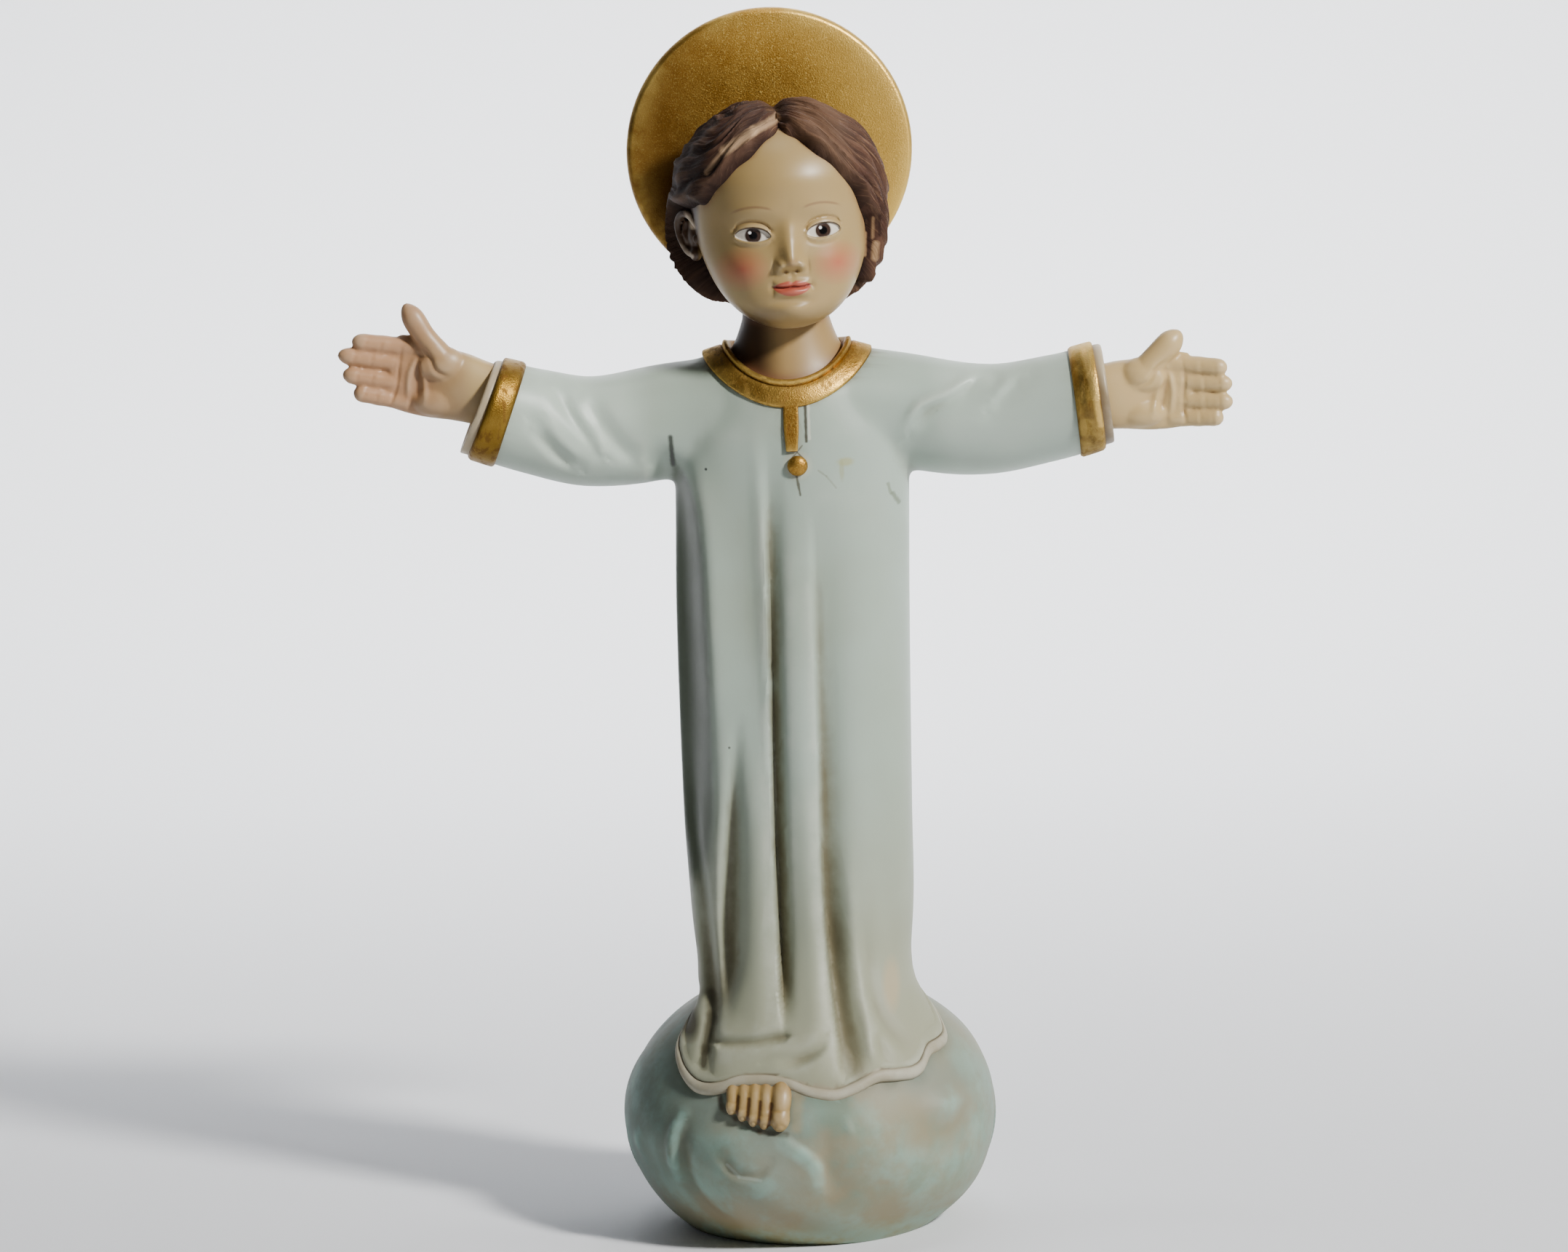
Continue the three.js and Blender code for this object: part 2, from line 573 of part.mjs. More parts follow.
function faceRelief(x, z) {
  const side = Math.abs(x);
  const bridge = 1.5 * bell(x, 2.2) * smoothstep(z, -9, -4) * (1 - smoothstep(z, -2, 4));
  const noseTip = 3.8 * bell(x, 2.6) * bell(z - FACE.noseTipZ, 2.6);
  const wings = 1.5 * bell(side - 2.6, 1.5) * bell(z - FACE.noseTipZ + 1, 1.6);
  const socket = -1.7 * bell(side - FACE.eyeX, 4.6) * bell(z - FACE.eyeZ, 3);
  const lid = 1.1 * bell(side - FACE.eyeX, 3.2) * bell(z - FACE.eyeZ, 1.7);
  const brow = 0.5 * bell(side - FACE.eyeX, 6) * bell(z - FACE.browZ, 1.8);
  const lips = 1.1 * bell(x, 4.2) * bell(z - FACE.mouthZ, 1.7);
  const chin = 1 * bell(x, 4.2) * bell(z - FACE.chinZ, 2.8);
  const cheek = 0.8 * bell(side - FACE.cheekX, 5) * bell(z - FACE.cheekZ, 5);
  return bridge + noseTip + wings + socket + lid + brow + lips + chin + cheek;
}

// A point of the bare head, from the turn away from the face and the drop from the crown
function headPoint(turn, drop) {
  const z = HEAD_HALF_HEIGHT * Math.cos(drop);
  const ring = Math.sin(drop);
  const x = headWide(z) * ring * Math.sin(turn);
  const y = headMiddle(z) - headDeep(z) * ring * Math.cos(turn);
  const relief = faceRelief(x, z) * smoothstep(Math.cos(turn), 0, 0.5) * smoothstep(ring, 0, 0.2);
  return new THREE.Vector3(x, y - relief, z);
}

function placeHead(point) {
  return point
    .applyAxisAngle(new THREE.Vector3(1, 0, 0), HEAD_LIFT)
    .applyAxisAngle(new THREE.Vector3(0, 0, 1), HEAD_TURN)
    .applyAxisAngle(new THREE.Vector3(0, 1, 0), HEAD_TILT)
    .add(HEAD_CENTRE);
}

// Hair: parted in the middle, down to the nape; its edge by the turn in degrees, behind the ear on the left
const hairEdgeRight = profile([
  [0, 22.9], [8, 21], [19, 17.6], [35, 12.4], [51, 5.6], [66, -2], [80, -9.5], [95, -15], [120, -19],
  [180, -20],
]);
const hairEdgeLeft = profile([
  [0, 22.9], [8, 21], [19, 17.6], [35, 13], [51, 8], [64, 5.2], [80, 4.6], [98, 4], [108, -1], [117, -12],
  [132, -18.6], [180, -20],
]);
function hairEdge(turn) {
  const edge = turn < 0 ? hairEdgeLeft : hairEdgeRight;
  return edge(THREE.MathUtils.radToDeg(Math.abs(turn)));
}
const HAIR_SHARE = 0.42;

// Thickness of the hair: loose locks that swell at the sides and behind the left ear, and part on top
function hairThickness(turn, drop) {
  const away = Math.abs(turn);
  const poles = smoothstep(Math.sin(drop), 0, 0.4);
  const parting = 1.7 * bell(turn, 0.12);
  const locks = 0.6 * Math.sin(6 * away + 4.5 * drop);
  const sides = 1.5 * bell(away - 1.5, 0.5) * bell(drop - 1.6, 0.6);
  const behindEar = turn < 0 ? 5.6 * bell(away - 2.05, 0.3) * bell(drop - 1.8, 0.5) : 0;
  const back = 2.4 * smoothstep(away, 2, 2.8);
  return HAIR_THICKNESS + (sides + behindEar + locks - parting - back) * poles;
}

// The head's rings crowd to the hair's edge, so that the edge is one clean step
function head() {
  return solid(warp(new THREE.SphereGeometry(1, ...FACETS.head), (point) => {
    const turn = crowd(Math.atan2(point.x, point.z));
    const share = Math.acos(THREE.MathUtils.clamp(point.y, -1, 1)) / Math.PI;
    const edge = Math.acos(hairEdge(turn) / HEAD_HALF_HEIGHT);
    const inHair = share <= HAIR_SHARE;
    const drop = inHair
      ? edge * share / HAIR_SHARE
      : lerp(edge, Math.PI, (share - HAIR_SHARE) / (1 - HAIR_SHARE));
    const bare = headPoint(turn, drop);
    const thick = inHair ? hairThickness(turn, drop) * smoothstep(HAIR_SHARE - share, -0.03, 0.06) : 0;
    bare.setLength(bare.length() + thick);
    bare.y = Math.min(bare.y, HEAD_BACK);
    return placeHead(bare);
  }));
}

const EAR = { x: 22.4, y: 1.2, z: -2.6, halfWidth: 2.9, halfDepth: 3.4, halfHeight: 6.2, lean: 0.6 };

function ear(side) {
  const shell = warp(new THREE.SphereGeometry(1, ...FACETS.ear), (point) => placeHead(new THREE.Vector3(
    side * (EAR.x + point.x * EAR.halfWidth + point.y * EAR.lean),
    EAR.y + point.z * EAR.halfDepth,
    EAR.z + point.y * EAR.halfHeight,
  )));
  return solid(shell);
}

// Halo: a coin with a softly rounded rim, turned with the head
function halo() {
  const [flat, rim] = [HALO_THICKNESS / 2, HALO_RADIUS - HALO_EDGE];
  const outline = [
    [0, -flat], [rim, -flat], [HALO_RADIUS, HALO_EDGE - flat],
    [HALO_RADIUS, flat - HALO_EDGE], [rim, flat], [0, flat],
  ].map(([radius, height]) => new THREE.Vector2(radius, height));
  const coin = new THREE.LatheGeometry(outline, FACETS.halo);
  coin.rotateZ(HEAD_TURN);
  coin.translate(HALO_MIDDLE.x, HALO_MIDDLE.y, TOTAL_HEIGHT - HALO_RADIUS);
  return solid(coin);
}

function figure() {
  const whole = joined([
    cloudBase(),
    robe(),
    foot(),
    ...ARMS.map(sleeve),
    ...ARMS.map(hand),
    placket(),
    button(),
    head(),
    ear(-1),
    ear(1),
    halo(),
  ]);
  // Pockets sealed in where two forms meet are solid resin, so only the outer skin is kept
  const larger = (one, other) => (other.volume() > one.volume() ? other : one);
  const skin = whole.decompose().reduce(larger);
  const { vertProperties, triVerts } = skin.getMesh();
  const geometry = new THREE.BufferGeometry();
  geometry.setAttribute('position', new THREE.BufferAttribute(vertProperties, 3));
  geometry.setIndex(new THREE.BufferAttribute(triVerts, 1));
  geometry.computeVertexNormals();
  return geometry;
}

const paintedResin = new THREE.MeshStandardMaterial({ color: 0xb4bab2, roughness: 0.55, metalness: 0 });
const statue = new THREE.Mesh(figure(), paintedResin);
statue.name = 'child_statue';

const object = new THREE.Group();
object.add(statue);
export default object;
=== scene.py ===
import math

import bmesh
import bpy
import numpy as np
from mathutils import Matrix, Vector


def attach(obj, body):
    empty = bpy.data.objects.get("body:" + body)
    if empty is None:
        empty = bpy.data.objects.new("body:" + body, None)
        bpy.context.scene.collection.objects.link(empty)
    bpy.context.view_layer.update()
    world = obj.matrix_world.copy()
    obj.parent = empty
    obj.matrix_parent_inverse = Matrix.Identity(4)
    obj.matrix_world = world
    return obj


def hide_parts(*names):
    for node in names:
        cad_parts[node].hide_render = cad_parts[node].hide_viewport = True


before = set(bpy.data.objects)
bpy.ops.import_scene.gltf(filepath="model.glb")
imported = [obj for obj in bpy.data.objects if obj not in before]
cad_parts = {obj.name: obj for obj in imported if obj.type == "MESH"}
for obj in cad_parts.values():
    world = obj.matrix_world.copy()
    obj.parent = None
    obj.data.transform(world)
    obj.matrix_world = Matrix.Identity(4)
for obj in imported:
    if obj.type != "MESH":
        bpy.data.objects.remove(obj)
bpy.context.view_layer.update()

# The figure is shaped in millimetres and brought to metres at the end
MILLIMETRE = 0.001
SEED = 7
SHARP = math.radians(48)

ROBE, SKIN, HAIR, GOLD, TRIM, CLOUD = range(6)

CLOUD_HALF = (45.7, 42.0, 36.3)
CLOUD_CENTRE_Z = 27.0
HEM_LEVEL = 44.0
CLOTH_CLEAR = 0.9
ROBE_ROUNDNESS = 2.35
HEAD_CENTRE = (-0.4, -3.0, 250.5)
HEAD_HALF_HEIGHT = 26.0
HEAD_BACK = 23.6
HEAD_TURN = math.radians(4.5)
HEAD_LIFT = math.radians(-4)
HEAD_TILT = math.radians(-2)
HALO_RADIUS = 35.3
HALO_THICKNESS = 4.0
HALO_CENTRE = (-2.7, 21.0, 264.7)

# Grain of each even skin, and the most triangles that each form keeps
VOXEL = {"robe": 0.62, "hand": 0.4, "foot": 0.4, "ear": 0.34}
TRIANGLES = {
    "robe": 60000, "hand": 13000, "foot": 7000, "head": 36000, "hair": 38000, "ear": 3200, "cloud": 20000,
}


def lerp(start, end, share):
    return start + (end - start) * share


def smoothstep(value, start, end):
    t = np.clip((value - start) / (end - start), 0, 1)
    return t * t * (3 - 2 * t)


def bell(distance, width):
    return np.exp(-((distance / width) ** 2))


def signed_power(value, power):
    return np.sign(value) * np.abs(value) ** power


def profile(*stations):
    """A smooth value along a length, through a few stations of (place, value)."""
    places, values = np.array(sorted(stations), float).T
    last = len(places) - 1
    before = np.maximum(np.arange(last + 1) - 1, 0)
    after = np.minimum(np.arange(last + 1) + 1, last)
    slopes = (values[after] - values[before]) / (places[after] - places[before])

    def at(place):
        place = np.clip(place, places[0], places[-1])
        i = np.clip(np.searchsorted(places, place, side="right") - 1, 0, last - 1)
        span = places[i + 1] - places[i]
        t = (place - places[i]) / span
        ease = t * t * (3 - 2 * t)
        leave = t * (1 - t) ** 2 * span * slopes[i]
        arrive = t * t * (t - 1) * span * slopes[i + 1]
        return lerp(values[i], values[i + 1], ease) + leave + arrive

    return at


def profiles(*rows):
    return tuple(tuple(profile(*stations) for stations in row) for row in rows)


def ripple(place, pitch, seed, wander=0.0):
    """An uneven wave between about -1 and 1, made of a few sines."""
    random = np.random.default_rng(SEED + seed)
    total = 0
    for share in (1.0, 0.61, 1.57):
        phase = random.uniform(0, 2 * math.pi)
        total += np.sin(2 * math.pi * place / (pitch * share) + phase + wander)
    return total / 2.2


# Meshes: places as arrays, and the few moves that every form needs
def places_of(mesh):
    xyz = np.empty(len(mesh.vertices) * 3)
    mesh.vertices.foreach_get("co", xyz)
    return xyz.reshape(-1, 3)


def put_places(mesh, xyz):
    mesh.vertices.foreach_set("co", np.ascontiguousarray(xyz, float).ravel())
    mesh.update()


def normals_of(mesh):
    normals = np.empty(len(mesh.vertices) * 3)
    mesh.vertex_normals.foreach_get("vector", normals)
    return normals.reshape(-1, 3)


def edges_of(mesh):
    pairs = np.empty(len(mesh.edges) * 2, np.int64)
    mesh.edges.foreach_get("vertices", pairs)
    return pairs.reshape(-1, 2)


def neighbour_mean(pairs, values):
    """The mean of each vertex's neighbours, for an array with one row per vertex."""
    count = len(values)
    ends = np.concatenate([pairs[:, 0], pairs[:, 1]])
    others = np.concatenate([pairs[:, 1], pairs[:, 0]])
    share = np.maximum(np.bincount(ends, minlength=count), 1)
    columns = [np.bincount(ends, values[others, k], count) / share for k in range(values.shape[1])]
    return np.stack(columns, 1)


def relax(mesh, rounds, weight):
    """Draws each vertex towards its neighbours, by a weight that may differ from place to place."""
    xyz = places_of(mesh)
    pairs = edges_of(mesh)
    weight = np.broadcast_to(weight, len(xyz))[:, None]
    for _ in range(rounds):
        xyz += (neighbour_mean(pairs, xyz) - xyz) * weight
    put_places(mesh, xyz)


def object_of(name, mesh):
    piece = bpy.data.objects.new(name, mesh)
    bpy.context.scene.collection.objects.link(piece)
    return piece


def piece_of(name, form):
    mesh = bpy.data.meshes.new(name)
    form.to_mesh(mesh)
    form.free()
    return object_of(name, mesh)


def skin_of(name, rings):
    """A closed skin through rings of places, whose ends are drawn to a point or meet."""
    rings = np.asarray(rings, float)
    along, around = rings.shape[0] - 1, rings.shape[1] - 1
    form = bmesh.new()
    bmesh.ops.create_grid(form, x_segments=around, y_segments=along, size=1)
    mesh = bpy.data.meshes.new(name)
    form.to_mesh(mesh)
    grid = places_of(mesh)
    column = np.rint((grid[:, 0] + 1) / 2 * around).astype(int)
    row = np.rint((grid[:, 1] + 1) / 2 * along).astype(int)
    put_places(mesh, rings[row, column])
    form.clear()
    form.from_mesh(mesh)
    bmesh.ops.remove_doubles(form, verts=form.verts, dist=1e-4)
    bmesh.ops.dissolve_degenerate(form, edges=form.edges, dist=1e-5)
    bmesh.ops.recalc_face_normals(form, faces=form.faces)
    form.to_mesh(mesh)
    form.free()
    return object_of(name, mesh)


def ring_angles(around):
    return np.linspace(-math.pi, math.pi, around + 1)


def swept(name, around, stations, place):
    """A skin from a function of one station and all angles, which gives x, y and z."""
    angles = ring_angles(around)
    rings = []
    for station in stations:
        x, y, z = place(station, angles)
        rings.append(np.stack(np.broadcast_arrays(x, y, z + 0 * angles), 1))
        rings[-1][-1] = rings[-1][0]
    return skin_of(name, rings)


def finish_with(piece, kind, **settings):
    """Adds one modifier and keeps its result."""
    modifier = piece.modifiers.new(kind.lower(), kind)
    for key, value in settings.items():
        setattr(modifier, key, value)
    depsgraph = bpy.context.evaluated_depsgraph_get()
    made = bpy.data.meshes.new_from_object(piece.evaluated_get(depsgraph))
    piece.modifiers.clear()
    piece.data = made
    return piece


def together(name, pieces):
    form = bmesh.new()
    for piece in pieces:
        form.from_mesh(piece.data)
        bpy.data.objects.remove(piece)
    return piece_of(name, form)


def one_skin(name, pieces, voxel):
    """Overlapping forms made one even skin."""
    return finish_with(together(name, pieces), "REMESH", mode="VOXEL", voxel_size=voxel)


def thinned(piece, triangles):
    """Leaves about that many triangles, most of them where the shape turns."""
    corners = sum(len(face.vertices) - 2 for face in piece.data.polygons)
    if corners > triangles:
        finish_with(piece, "DECIMATE", ratio=triangles / corners, use_collapse_triangulate=True)
    return piece


def relaxed(piece, rounds, weight):
    """A form's mesh, places and normals once it's relaxed."""
    relax(piece.data, rounds, weight)
    return piece.data, places_of(piece.data), normals_of(piece.data)


def painted(piece, finish):
    """Gives every face of a form one of the figure's finishes."""
    mesh = piece.data
    mesh.materials.clear()
    for material in finishes:
        mesh.materials.append(material)
    mesh.polygons.foreach_set("material_index", np.full(len(mesh.polygons), finish, np.int32))
    return piece


def limb(name, stations, around=28, along=44, flat=1.0, tip=0.2, sideways=(0, 1, 0)):
    """A rounded limb through stations of (place, radius), with an egg-shaped end."""
    points = np.array([place for place, _ in stations], float)
    lengths = np.r_[0, np.cumsum(np.linalg.norm(np.diff(points, axis=0), axis=1))]
    shares = lengths / lengths[-1]
    path = [profile(*zip(shares, points[:, k])) for k in range(3)]
    radius_at = profile(*zip(shares, [radius for _, radius in stations]))
    angles = ring_angles(around)
    rings = []
    for step in np.linspace(0, 1, along + 1):
        t = 1 - (1 - step) ** 1.6
        middle = np.array([line(t) for line in path])
        ahead = np.array([line(min(t + 0.01, 1)) - line(max(t - 0.01, 0)) for line in path])
        ahead /= np.linalg.norm(ahead)
        across = np.cross(sideways, ahead)
        across /= np.linalg.norm(across)
        outward = np.cross(ahead, across)
        closing = math.sqrt(max(0.0, 1 - max(0.0, (t - 1 + tip) / tip) ** 2))
        radius = radius_at(t) * closing
        ring = middle + across * radius * np.cos(angles)[:, None]
        ring = ring + outward * radius * flat * np.sin(angles)[:, None]
        ring[-1] = ring[0]
        rings.append(ring)
    start = np.repeat(rings[0].mean(0)[None], around + 1, 0)
    return skin_of(name, [start, *rings])


def ball(name, centre, radii, finer=4):
    form = bmesh.new()
    bmesh.ops.create_icosphere(form, subdivisions=finer, radius=1)
    bmesh.ops.scale(form, vec=Vector(radii), verts=form.verts)
    bmesh.ops.translate(form, vec=Vector(centre), verts=form.verts)
    return piece_of(name, form)


# Robe: a column that follows the cloud at its hem, in one with the sleeves
robe_half_width = profile(
    (44, 27.4), (48, 26.9), (52, 26.6), (60, 26.5), (68, 26.8), (85, 27.7), (104, 28.2), (154, 28.7),
    (185, 28.7), (195, 28.9), (205, 27), (212, 22.5), (218, 17), (222, 14),
)
robe_shift = profile(
    (44, 0), (60, -0.3), (85, -0.4), (104, -0.75), (154, -0.45), (190, 0.4), (205, 0.2), (215, 0),
)
robe_half_depth = profile(
    (44, 35), (50, 29), (58, 24.6), (68, 22.5), (85, 21.5), (126, 20.5),
    (181, 19), (195, 18), (205, 16.8), (212, 15.2), (218, 13.5), (222, 12),
)
robe_middle = profile((44, -4.5), (58, -2.5), (85, -1.5), (222, -1))
# Distance of the hem's edge from the axis, by the turn away from the front in degrees
hem_reach = profile(
    (-180, 30.5), (-130, 27), (-90, 25.8), (-73, 26.2), (-66.4, 30.4), (-60.7, 36.6), (-54, 39.2),
    (-48, 40.5), (-42, 41), (-33, 40.5), (-25, 39), (-17, 38.2), (-8, 38.6), (0, 39.6), (8, 40), (16, 39.7),
    (24, 39.3), (33, 39.7), (43, 39.8), (51, 38.1), (58, 38), (64, 37.4), (70, 34), (76, 30.4), (84, 27.8),
    (110, 27), (140, 28), (180, 30.5),
)
hem_over_foot = profile(
    (-27, -0.8), (-20, -0.3), (-12, -1.4), (-5, -1.1), (2, -0.7), (8, -1.0), (13, -0.5), (18, 0.1),
    (25, -0.5),
)


def cloud_top(x, y, grow=0.0):
    inside = 1 - (x / (CLOUD_HALF[0] + grow)) ** 2 - (y / (CLOUD_HALF[1] + grow)) ** 2
    return CLOUD_CENTRE_Z + (CLOUD_HALF[2] + grow) * np.sqrt(np.maximum(inside, 0))


def robe_point(level, angle, rho=1.0):
    across = signed_power(np.cos(angle), 2 / ROBE_ROUNDNESS)
    deep = signed_power(np.sin(angle), 2 / ROBE_ROUNDNESS)
    x = robe_half_width(level) * across + robe_shift(level)
    y = robe_middle(level) + robe_half_depth(level) * deep
    # Towards the hem the column opens to the hem's own outline
    turn = np.degrees(np.arctan2(x, -y))
    reach = np.hypot(x, y)
    opening = (1 - smoothstep(level, HEM_LEVEL, 52)) ** 1.3
    wanted = lerp(reach, hem_reach(turn), opening)
    x = x * wanted / reach * rho
    y = y * wanted / reach * rho
    near_hem = 1 - smoothstep(level, HEM_LEVEL, 82)
    over_foot = hem_over_foot(x) * smoothstep(-y, 5, 25)
    z = level + (cloud_top(x, y, 0.6) + over_foot - HEM_LEVEL) * near_hem
    return x, y, z


COLLAR_ACROSS = 17.3
COLLAR_DEEP = 14.7
COLLAR_MIDDLE = -1.9
COLLAR_HALF_BAND = 3.3
COLLAR_SIDE = 218.8
COLLAR_FRONT = -9.3
COLLAR_BACK = -3.2


def collar_point(angle, across, rise):
    """A place on the neckline's band, from its inner edge at -1 to its outer edge at 1."""
    front = np.maximum(0, -np.sin(angle))
    back = np.maximum(0, np.sin(angle))
    slope = 0.3 + 0.95 * front**1.2 + 0.5 * back
    out = COLLAR_HALF_BAND * across * np.cos(slope) + rise * np.sin(slope)
    up = rise * np.cos(slope) - COLLAR_HALF_BAND * across * np.sin(slope)
    x = (COLLAR_ACROSS + out) * np.cos(angle)
    y = COLLAR_MIDDLE + (COLLAR_DEEP + out) * np.sin(angle)
    z = COLLAR_SIDE + COLLAR_BACK * back + COLLAR_FRONT * front**1.7 + up
    return x, y, z


def hem_outline():
    """The hem's edge, as turn, distance from the axis and height."""
    x, y, z = robe_point(HEM_LEVEL, ring_angles(720))
    turn = np.arctan2(x, -y)
    order = np.argsort(turn)
    return turn[order], np.hypot(x, y)[order], z[order]


HEM_UP = (-0.4, 0.92)
HEM_SEAM = 2.62


def above_hem(x, y, z):
    """Distance from the hem's edge, up along the cloth."""
    turns, reaches, heights = hem_outline()
    turn = np.arctan2(x, -y)
    reach = np.interp(turn, turns, reaches, period=2 * math.pi)
    height = np.interp(turn, turns, heights, period=2 * math.pi)
    return (np.hypot(x, y) - reach) * HEM_UP[0] + (z - height) * HEM_UP[1]


def hem_band():
    """The thick turned edge of the robe, with a line cut above it."""
    section = [
        (-0.1, -1.6), (-0.5, -0.7), (-0.45, 0.1), (0.0, 0.75), (0.7, 1.1), (1.5, 1.1), (2.1, 0.95),
        (2.45, 0.7), (HEM_SEAM, 0.05), (2.82, 0.55), (3.3, 0.72), (4.2, 0.55), (5.4, 0.1), (6.8, -0.9),
        (6.8, -2.4), (3, -2.8), (0, -2.6), (-0.1, -1.6),
    ]

    def ring(station, angles):
        along, out = station
        x, y, z = robe_point(HEM_LEVEL, angles)
        reach = np.hypot(x, y)
        grown = 1 + (along * HEM_UP[0] + out * HEM_UP[1]) / reach
        return x * grown, y * grown, z + along * HEM_UP[1] - out * HEM_UP[0]

    return painted(swept("hem_band", 260, section, ring), ROBE)


def between(first, second, share):
    return tuple(lerp(a, b, share) for a, b in zip(first, second))


SHOULDER_LEVEL = 200.0


def column_ring(station, angles):
    kind, value, rho = station
    if kind == "hem":
        x, y, z = robe_point(HEM_LEVEL, angles, rho)
        return x, y, z + value
    if kind == "cloth":
        return robe_point(value, angles, rho)
    if kind == "shoulder":
        return between(robe_point(SHOULDER_LEVEL, angles), collar_point(angles, 1, 0.2), value)
    x, y, z = collar_point(angles, -0.4, -1.6)
    return x * rho, COLLAR_MIDDLE + (y - COLLAR_MIDDLE) * rho, z + value


def column():
    stations = [("hem", -9, 0.0), ("hem", -3, 0.7), ("hem", -2.4, 0.93)]
    stations += [("hem", -1.6, 0.968), ("hem", -1.1, 0.985), ("hem", -0.3, 0.997), ("hem", 0.6, 1.0)]
    for share in np.linspace(0, 1, 110):
        stations.append(("cloth", lerp(HEM_LEVEL + 1.4, SHOULDER_LEVEL, share**1.3), 1.0))
    stations += [("shoulder", share, 1.0) for share in np.linspace(0.05, 1, 20)]
    stations += [("inside", 0, 1.0), ("inside", -5, 0.8), ("inside", -6, 0.0)]
    return swept("column", 220, stations, column_ring)


# Each thumb's line, as reach, height, depth and radius
THUMBS = (
    ((3, 2, 1, 3.8), (7.5, 6.4, 1.8, 3.5), (12, 10.4, 1.9, 2.8),
     (15.4, 13.8, 1.7, 2.85), (18.6, 17.0, 1.2, 2.3)),
    ((2.5, 1.5, 1, 3.8), (6.5, 5.2, 1.8, 3.5), (10, 8.8, 1.9, 3.2),
     (13.2, 11.8, 1.7, 3.2), (16.4, 14.8, 1.2, 2.6)),
)
# The two arms: cuff, lean of the sleeve's end, lift of the shoulder, wrist, turn of the hand and fingers
ARMS = (
    {
        "side": -1, "cuff_x": 75.0, "cuff_z": 207.6, "cuff_grow": -0.9, "lean": 4.8, "shoulder": 0.0,
        "wrist": (79.0, -10.5, 212.6), "rise": math.radians(15), "reach": (29.0, 31.6, 29.4, 25.8),
        "curl": 1.5, "thumb": THUMBS[0],
    },
    {
        "side": 1, "cuff_x": 76.9, "cuff_z": 206.1, "cuff_grow": 0.1, "lean": 1.4, "shoulder": 1.2,
        "wrist": (80.0, -10.5, 205.8), "rise": math.radians(2), "reach": (27.2, 28.2, 28.1, 25.6),
        "curl": 2.5, "thumb": THUMBS[1],
    },
)
SLEEVE_START = 12.0
sleeve_sag = profile((0, 204.4), (0.3, 201.3), (0.58, 199.9), (0.8, 203.2), (1, 207.4))
sleeve_forward = profile((0, -1), (0.3, -1), (0.6, -4), (1, -9.5))
sleeve_half_height = profile((0, 13.2), (0.15, 13.8), (0.3, 14.4), (0.6, 13.4), (1, 12.3))
sleeve_half_depth = profile((0, 14), (0.3, 13), (0.7, 12), (1, 12.2))


def sleeve_point(arm, share, angle, radius=1.0, grow=0.0):
    up = np.sin(angle)
    front = -np.cos(angle)
    lift = smoothstep(share, 0.55, 1) * (arm["cuff_z"] - 207.4) + arm["shoulder"] * bell(share - 0.12, 0.17)
    lean = arm["lean"] * smoothstep(share, 0.4, 1) * up * radius
    x = arm["side"] * (lerp(SLEEVE_START, arm["cuff_x"], share) - lean)
    y = sleeve_forward(share) - (sleeve_half_depth(share) + grow) * radius * front
    half_height = sleeve_half_height(share) + arm["cuff_grow"] * smoothstep(share, 0.6, 1) + grow
    z = sleeve_sag(share) + lift + half_height * radius * up
    return x, y, z


def sleeve(arm):
    stations = [(0, 0.0), (0, 0.5)] + [(share, 1.0) for share in np.linspace(0, 0.945, 70)]
    stations += [(0.945, 0.6), (0.945, 0.0)]
    return swept("sleeve", 96, stations, lambda s, a: sleeve_point(arm, s[0], a, s[1]))


def cut(distance, left, right):
    """A groove's section, with a width of its own on either side."""
    return np.where(distance < 0, bell(distance, left), bell(distance, right))


